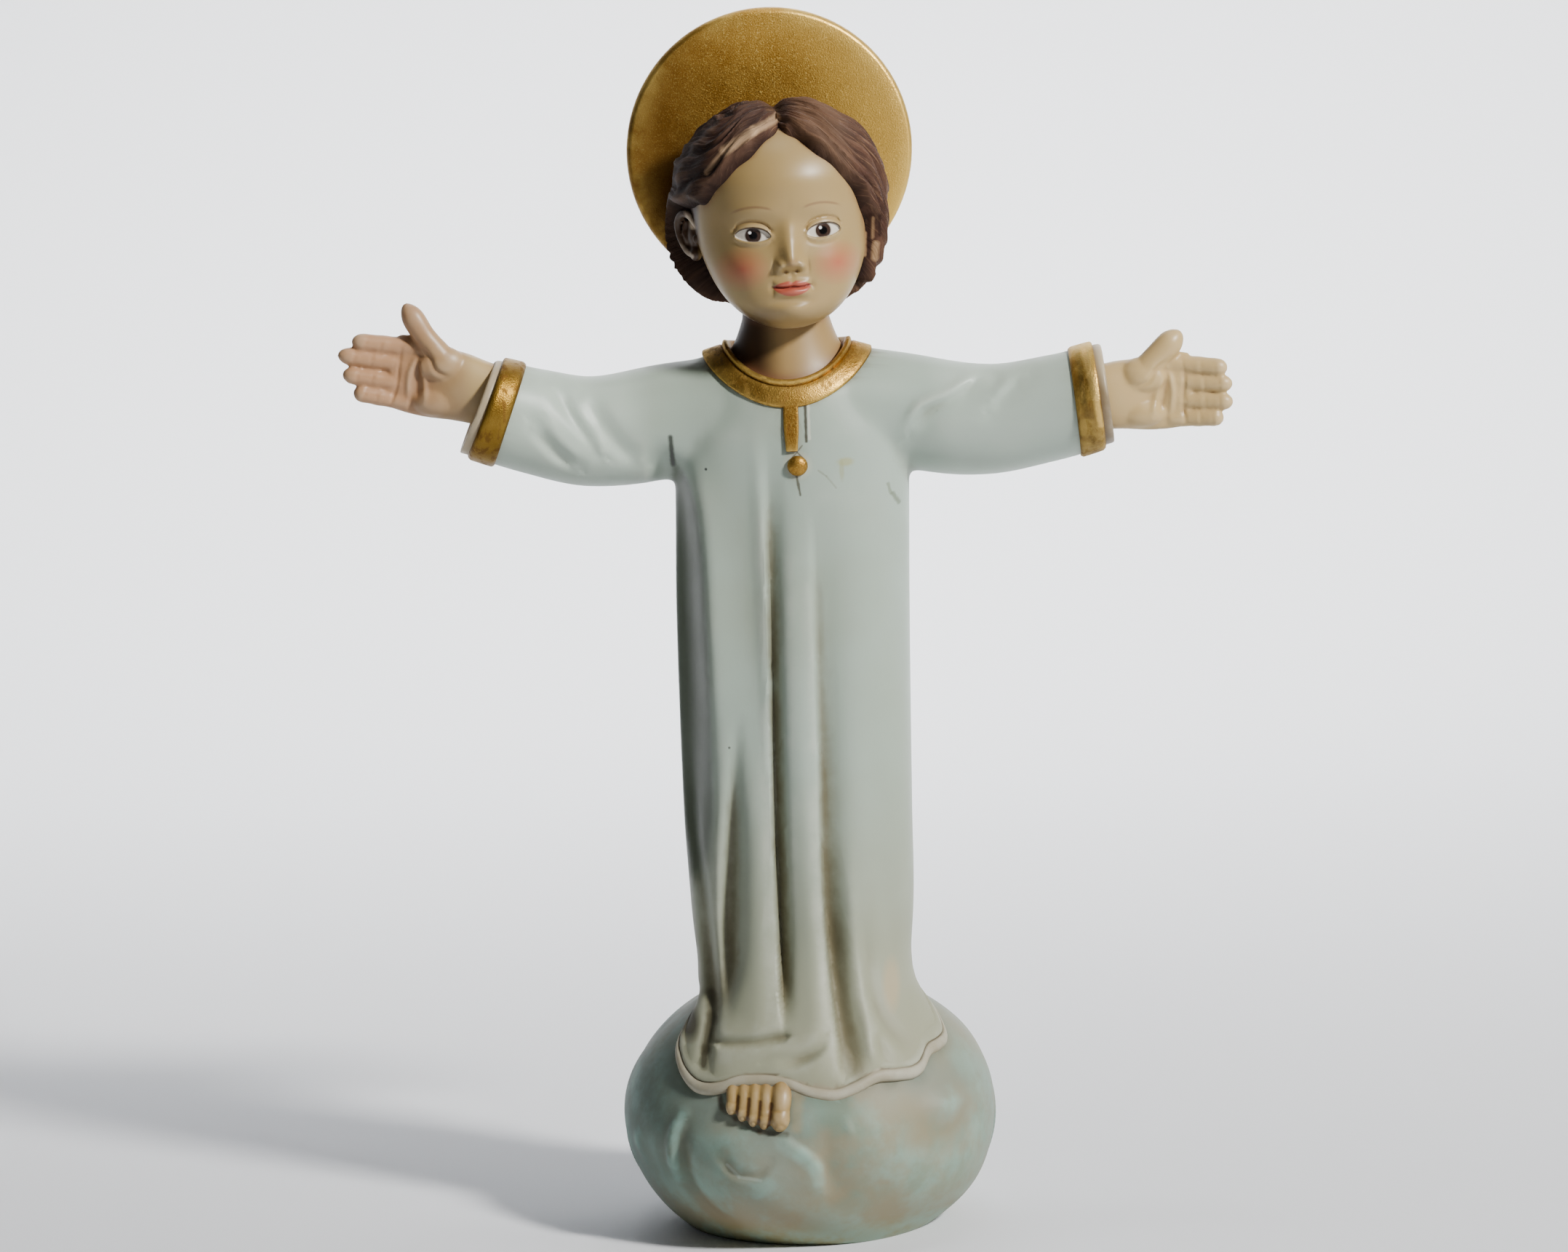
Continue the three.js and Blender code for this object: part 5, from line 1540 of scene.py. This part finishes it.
def hair_paint(antique, stroke):
    material, tree, shader = new_material("hair_paint")
    streaks = scaled(attribute(tree, "strand", "Vector"), 1.0, 0.06, 1.0)
    fine = noise(streaks, 2.0, 4, 0.7)
    broad = noise(streaks, 0.28, 2, 0.5)
    base = mixed(ramp(broad, 0.35, 0.65), linear(48, 28, 21), linear(76, 48, 36))
    base = mixed(ramp(fine, 0.52, 0.72), base, linear(134, 102, 76))
    in_mm = in_millimetres(tree)
    x, _, _ = parted(in_mm)
    # The hair is painted lighter on its right and darker towards its left, as painted light and shade
    base = tinted(base, ramp(x, 1, 6) * ramp(x, 20, 12), 0.45, linear(118, 90, 68))
    base = tinted(base, ramp(x, 1, -9), 0.6, linear(42, 23, 18))
    base = tinted(base, ramp(x, -12, -22), 0.6, linear(30, 16, 13))
    out = grouped(
        antique, Paint=base, Wash=linear(30, 15, 12), Rubbed=linear(128, 96, 72), Wash_Amount=1.0,
        Rub_Amount=0.35, Mottle=0.2,
    )
    light_lock = linear(190, 158, 122)
    skin = linear(176, 142, 104)
    slit = linear(44, 20, 10)
    colour = with_strokes(stroke, in_mm, out["Color"], (
        (-6.4, 274.2, -0.8, 276.4, 0.9, light_lock, 0.6),
        (-13.8, 269.6, -6.4, 274.2, 0.9, light_lock, 0.6),
        (-18.0, 264.4, -13.8, 269.6, 0.6, light_lock, 0.4),
        (21.8, 251.0, 21.6, 246.4, 0.5, skin, 0.5),
        (19.8, 247.3, 19.5, 242.0, 0.5, skin, 0.8),
        (22.4, 244.6, 22.0, 241.2, 0.8, skin, 0.7),
        (21.1, 252.0, 20.7, 244.0, 0.5, slit, 0.9),
        (23.5, 251.5, 23.4, 247.0, 0.4, slit, 0.8),
    ))
    surfaced(shader, colour, out["Roughness"] + 0.2, fine * 2.0 + out["Height"], 0.6, 0.0003)
    shader["Specular IOR Level"].default_value = 0.22
    return material


def gold_paint(antique, stroke):
    material, tree, shader = new_material("gold_paint")
    place = object_place(tree)
    grain = noise(place, 3000, 2, 0.6)
    flakes = Value(node("ShaderNodeTexVoronoi", {"Vector": place, "Scale": 2600})["Distance"])
    base = mixed(ramp(noise(place, 60, 3, 0.6), 0.35, 0.65), linear(164, 118, 40), linear(194, 150, 66))
    base = mixed(ramp(grain, 0.55, 0.7, 0.0, 0.75), base, linear(236, 204, 116))
    base = mixed(ramp(grain, 0.45, 0.3, 0.0, 0.6), base, linear(104, 66, 20))
    in_mm = in_millimetres(tree)
    x, y, z = parted(in_mm)
    # Painted shadow of the head, low on the halo beside the hair
    head_shadow_on_halo = ramp(diagonal(x + 14.0, z - 246.0), 30, 14) * ramp(z, 226, 232)
    base = tinted(base, head_shadow_on_halo, 0.85, linear(64, 32, 8))
    on_halo = ramp(y, 14, 17)
    # The halo is painted darker towards its left and lighter towards its right, as painted shade and light
    base = tinted(base, ramp(x, -2, -36) * on_halo, 0.75, linear(92, 56, 14))
    base = tinted(base, ramp(x, -8, 26) * on_halo, 0.6, linear(238, 196, 98))
    # Cuffs and collar are rubbed down to brown in blotches, the right cuff's lower half most of all
    below_halo = 1.0 - on_halo
    base = tinted(base, below_halo, 0.45, linear(116, 76, 20))
    base = mixed(ramp(x, -60, -64, 0.0, 0.8), base, linear(108, 81, 15))
    brushed = scaled(place, 1.0, 1.0, 0.22)
    blotches = below_halo * ramp(noise(brushed, 620, 3, 0.65), 0.5, 0.62)
    base = tinted(base, blotches, 0.7, linear(96, 60, 18))
    worn = ramp(x - z * 0.8, -95, -89) * ramp(z, 208, 202)
    base = tinted(base, worn, 0.85, linear(104, 88, 60))
    base = mixed(ramp(x, 60, 64, 0.0, 0.4), base, linear(96, 62, 16))
    # Painted shade along the right cuff's edges and a painted highlight down its middle
    cuff_edge_shade = linear(54, 32, 8)
    cuff_highlight = linear(244, 208, 128)
    base = with_strokes(stroke, in_mm, base, (
        (70.5, 217.5, 71.6, 206.0, 0.6, cuff_edge_shade, 0.8),
        (71.6, 206.0, 73.7, 194.5, 0.7, cuff_edge_shade, 0.7),
        (72.2, 217.0, 74.4, 207.0, 0.8, cuff_highlight, 0.85),
        (74.4, 207.0, 75.5, 200.0, 0.7, cuff_highlight, 0.6),
        (77.2, 214.0, 78.2, 196.0, 0.7, cuff_edge_shade, 0.6),
    ))
    out = grouped(
        antique, Paint=base, Wash=linear(84, 50, 20), Rubbed=linear(236, 200, 108), Wash_Amount=0.8,
        Rub_Amount=ramp(x, -64, -60, 0.15, 0.6), Mottle=0.1,
    )
    roughness = grain * 0.25 + (blotches * 0.2 + (worn * 0.2 + 0.3))
    surfaced(shader, out["Color"], roughness, flakes * 0.8 + grain, 0.35, 0.00015)
    shader["Metallic"].default_value = 0.88
    return material


def trim_paint(antique):
    material, tree, shader = new_material("cuff_lip_paint")
    x, _, z = parted(in_millimetres(tree))
    # The right cuff's lip is browned low down
    low_right = ramp(x, 50, 60) * ramp(z, 216, 207)
    out = grouped(
        antique, Paint=tinted(linear(168, 152, 122), low_right, 0.85, linear(104, 84, 52)),
        Wash=linear(100, 78, 54), Rubbed=linear(214, 198, 168),
        Wash_Amount=0.8, Rub_Amount=0.4, Mottle=0.4,
    )
    surfaced(shader, out["Color"], out["Roughness"], out["Height"], 0.3, 0.0002)
    return material


def cloud_paint(antique, spot, stroke):
    material, tree, shader = new_material("cloud_paint")
    place = object_place(tree)
    in_mm = in_millimetres(tree)
    x, _, z = parted(in_mm)
    patches = noise(place, 38, 4, 0.6)
    veil = noise(place, 16, 3, 0.55)
    base = mixed(ramp(veil, 0.4, 0.62), linear(122, 132, 121), linear(144, 138, 114))
    turquoise = ramp(patches, 0.5, 0.66) * ramp(z, 4, 20)
    base = tinted(base, turquoise, 0.48, linear(102, 144, 134))
    base = mixed(ramp(patches * 22.0 + z, 30, 12), base, linear(146, 132, 104))
    base = mixed(ramp(z, 9, 1), base, linear(140, 132, 90))
    # A faint painted highlight on the round puff at the right
    base = with_spots(spot, in_mm, base, ((32.3, 34.0, 3.0, 3.0, 0.8, linear(176, 184, 176), 0.1),))
    # The cloud's left side is painted darker, as painted shade
    base = mixed(ramp(x, -16, -44, 0.0, 0.55), base, linear(72, 90, 82))
    # Painted shadow under the toes, a beige stroke beside the big toe, and painted highlights under the
    # small crease and along the ridges
    shadow, ridge_highlight, rim = linear(62, 48, 32), linear(150, 184, 172), linear(136, 168, 158)
    pale = linear(176, 190, 178)
    base = with_strokes(stroke, in_mm, base, (
        (-22.4, 41.0, -21.6, 36.8, 0.7, shadow, 0.75),
        (-21.6, 36.8, -18.4, 34.6, 0.7, shadow, 0.6),
        (-18.4, 34.6, -12.6, 31.8, 0.7, shadow, 0.6),
        (-12.6, 31.8, -6.2, 31.1, 0.7, shadow, 0.6),
        (-3.0, 40.0, -3.6, 33.0, 1.4, linear(168, 146, 104), 0.4),
        (-20.8, 23.4, -18.0, 20.6, 0.4, pale, 0.4),
        (-18.0, 20.6, -12.8, 19.9, 0.4, pale, 0.4),
        (-7.0, 29.0, -2.6, 26.2, 1.8, ridge_highlight, 0.3),
        (-2.6, 26.2, 0.6, 23.0, 1.8, ridge_highlight, 0.35),
        (0.6, 23.0, 1.6, 19.0, 1.4, linear(160, 192, 180), 0.4),
        (-31.4, 34.0, -33.4, 28.6, 0.9, rim, 0.5),
        (-33.4, 28.6, -33.6, 21.0, 0.9, rim, 0.5),
    ))
    out = grouped(
        antique, Paint=base, Wash=linear(80, 84, 68), Rubbed=linear(140, 176, 166),
        Wash_Amount=0.6, Rub_Amount=0.6, Mottle=0.5,
    )
    surfaced(shader, out["Color"], out["Roughness"] + 0.12, out["Height"], 0.3, 0.0003)
    shader["Specular IOR Level"].default_value = 0.24
    return material


def make_finishes():
    """One material for each finish, in the order of the finishes' numbers."""
    antique, spot, stroke = antique_group(), spot_group(), stroke_group()
    return [
        robe_paint(antique, spot, stroke),
        skin_paint(antique, face_group(spot), stroke),
        hair_paint(antique, stroke),
        gold_paint(antique, stroke),
        trim_paint(antique),
        cloud_paint(antique, spot, stroke),
    ]


def union(whole, piece):
    finish_with(whole, "BOOLEAN", operation="UNION", solver="MANIFOLD", object=piece)
    bpy.data.objects.remove(piece)
    return whole


def mark_wear_and_shade(mesh):
    """Stores where the shape is hollow or stands out, for the paint's wash and rubbed edges, and where
    painted shade goes in the grooves and on the left side.
    """
    pairs = edges_of(mesh)
    xyz = places_of(mesh)
    normals = normals_of(mesh)
    smooth = xyz
    hollows = []
    for rounds in (6, 34):
        for _ in range(rounds):
            smooth = neighbour_mean(pairs, smooth)
        hollows.append(((smooth - xyz) * normals).sum(1))
    near, wide = hollows
    x, y, z = xyz.T
    from_hem = above_hem(x, y, z)
    grooves = groove_depth(x, z) * smoothstep(-y, 3, 8) * smoothstep(from_hem, 2.8, 6)
    beside_arm = smoothstep(-x, 28.4, 29.6) * smoothstep(z, 179, 183)
    fields = {
        "crease": smoothstep(near, 0.06, 0.42),
        "edge": smoothstep(-near, 0.04, 0.3),
        "hollow": smoothstep(wide, 0.2, 1.6),
        "fold": smoothstep(grooves, 0.6, 3.2),
        # Where the flat side on the left gets painted shade
        "side": smoothstep(side_depth(x, z), 0.1, 1.4) * smoothstep(-y, -4, 4) * (1 - beside_arm),
        "hem": 1 - smoothstep(from_hem, 2.5, 2.8),
        "seam": np.maximum(0, 1 - np.abs(from_hem - HEM_SEAM) / 0.22),
    }
    for name, values in fields.items():
        for _ in range(0 if name in ("hem", "seam") else 2):
            values = neighbour_mean(pairs, values[:, None])[:, 0] * 0.6 + values * 0.4
        layer = mesh.attributes.new(name, "FLOAT", "POINT")
        layer.data.foreach_set("value", values.astype(np.float32))
    local = on_head(xyz)
    turn = np.arctan2(local[:, 0], -local[:, 1])
    drop = np.arccos(np.clip(local[:, 2] / np.maximum(np.linalg.norm(local, axis=1), 1e-6), -1, 1))
    across, along = hair_flow(turn, drop)
    strand = np.stack([across, along, 0 * across], 1) * HEAD_HALF_HEIGHT
    layer = mesh.attributes.new("strand", "FLOAT_VECTOR", "POINT")
    layer.data.foreach_set("vector", strand.astype(np.float32).ravel())


def child_figure():
    parts = [robe_body(), hem_band(), cloud(), collar(), neck(), placket(), button(), foot()]
    parts += [hand(arm) for arm in ARMS]
    for arm in ARMS:
        parts += cuff(arm)
    parts += [halo(), hair(), head_skin(), ear(-1), ear(1)]
    whole = parts[0]
    for part in parts[1:]:
        whole = union(whole, part)
    mesh = whole.data
    mark_wear_and_shade(mesh)
    put_places(mesh, places_of(mesh) * MILLIMETRE)
    mesh.shade_smooth()
    mesh.set_sharp_from_angle(angle=SHARP)
    whole.name = "child_figure"
    mesh.name = "child_figure"
    return whole


finishes = make_finishes()
figure = child_figure()
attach(figure, "root")
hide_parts("child_statue")


# Pale floor that curves up behind, soft lamps and the camera, in metres
FLOOR_HALF = 3.2
CURVE_START = 0.55
CURVE_RADIUS = 0.35
WALL_TOP = 2.2
FADE = (1.3, 2.6)
CAMERA_AIM = Vector((-0.0028, 0, 0.1494))
CAMERA_DISTANCE = 2.0
CAMERA_RISE = math.radians(10)
CAMERA_ROLL = math.radians(-1.8)
CAMERA_LENS = 186.6


def camera_ray(tree):
    return Value(node("ShaderNodeLightPath", {}, tree)["Is Camera Ray"])


def blended(tree, share, first, second, output):
    """Gives an output a blend of two shaders."""
    blend = node("ShaderNodeMixShader", {0: share, 1: Value(first), 2: Value(second)})
    feed(tree.nodes[output].inputs["Surface"], Value(blend[0]))


def studio():
    outline = [(-FLOOR_HALF, 0.0), (CURVE_START, 0.0)]
    for turn in np.linspace(0.2, math.pi / 2, 8):
        out, up = math.sin(turn), 1 - math.cos(turn)
        outline.append((CURVE_START + CURVE_RADIUS * out, CURVE_RADIUS * up))
    outline += [(CURVE_START + CURVE_RADIUS, WALL_TOP)]
    form = bmesh.new()
    edge = [form.verts.new((-FLOOR_HALF, y, z)) for y, z in outline]
    lines = [form.edges.new(pair) for pair in zip(edge[:-1], edge[1:])]
    drawn_out = bmesh.ops.extrude_edge_only(form, edges=lines)["geom"]
    far_side = [part for part in drawn_out if isinstance(part, bmesh.types.BMVert)]
    bmesh.ops.translate(form, vec=(2 * FLOOR_HALF, 0, 0), verts=far_side)
    form.faces.ensure_lookup_table()
    form.normal_update()
    if form.faces[0].normal.z < 0:
        bmesh.ops.reverse_faces(form, faces=form.faces)
    floor = piece_of("floor", form)
    floor.data.shade_smooth()
    material, tree, shader = new_material("pale_floor")
    shader["Base Color"].default_value = linear(222, 224, 228)
    shader["Roughness"].default_value = 0.9
    # The curve can be looked through from behind, and the far floor fades into the room
    level = scaled(object_place(tree), 1, 1, 0)
    far = Value(node("ShaderNodeVectorMath", {0: level}, operation="LENGTH")["Value"])
    behind = Value(node("ShaderNodeNewGeometry", {}, tree)["Backfacing"])
    opened = maths("MAXIMUM", behind, ramp(far, *FADE)) * camera_ray(tree)
    opaque = tree.nodes["Principled BSDF"].outputs[0]
    clear = node("ShaderNodeBsdfTransparent", {}, tree)[0]
    blended(tree, opened, opaque, clear, "Material Output")
    floor.data.materials.append(material)


def soft_lamp(name, place, target, size, watts, colour=(1, 1, 1), spread=math.pi):
    lamp = bpy.data.lights.new(name, "AREA")
    lamp.shape = "DISK"
    lamp.size = size
    lamp.energy = watts
    lamp.color = colour
    lamp.spread = spread
    holder = bpy.data.objects.new(name, lamp)
    holder.location = place
    holder.rotation_euler = (Vector(target) - Vector(place)).to_track_quat("-Z", "Y").to_euler()
    bpy.context.scene.collection.objects.link(holder)


def lights():
    middle = (0, 0, 0.15)
    soft_lamp("key", (1.17, -0.97, 1.24), middle, 0.26, 60, (1, 0.98, 0.95))
    soft_lamp("fill", (-0.3, -1.4, 0.4), middle, 0.9, 0.2, (0.94, 0.97, 1))
    soft_lamp("backdrop", (0.0, 0.35, 1.6), (0, 1.0, 0.3), 0.9, 14.5, spread=math.radians(68))
    world = bpy.data.worlds.new("soft_room")
    world.use_nodes = True
    tree = world.node_tree
    light = tree.nodes["Background"]
    light.inputs["Color"].default_value = (0.9, 0.93, 1, 1)
    light.inputs["Strength"].default_value = 0.02
    pale = node("ShaderNodeBackground", {"Color": linear(236, 238, 242), "Strength": 1.15}, tree)[0]
    blended(tree, camera_ray(tree), light.outputs[0], pale, "World Output")
    bpy.context.scene.world = world


def camera():
    lens = bpy.data.cameras.new("camera")
    lens.lens = CAMERA_LENS
    lens.sensor_width = 36
    holder = bpy.data.objects.new("camera", lens)
    way = Vector((0, -math.cos(CAMERA_RISE), math.sin(CAMERA_RISE)))
    holder.location = CAMERA_AIM + CAMERA_DISTANCE * way
    look = (CAMERA_AIM - holder.location).to_track_quat("-Z", "Y").to_matrix().to_4x4()
    holder.rotation_euler = (look @ Matrix.Rotation(CAMERA_ROLL, 4, "Z")).to_euler()
    bpy.context.scene.collection.objects.link(holder)
    bpy.context.scene.camera = holder


studio()
lights()
camera()
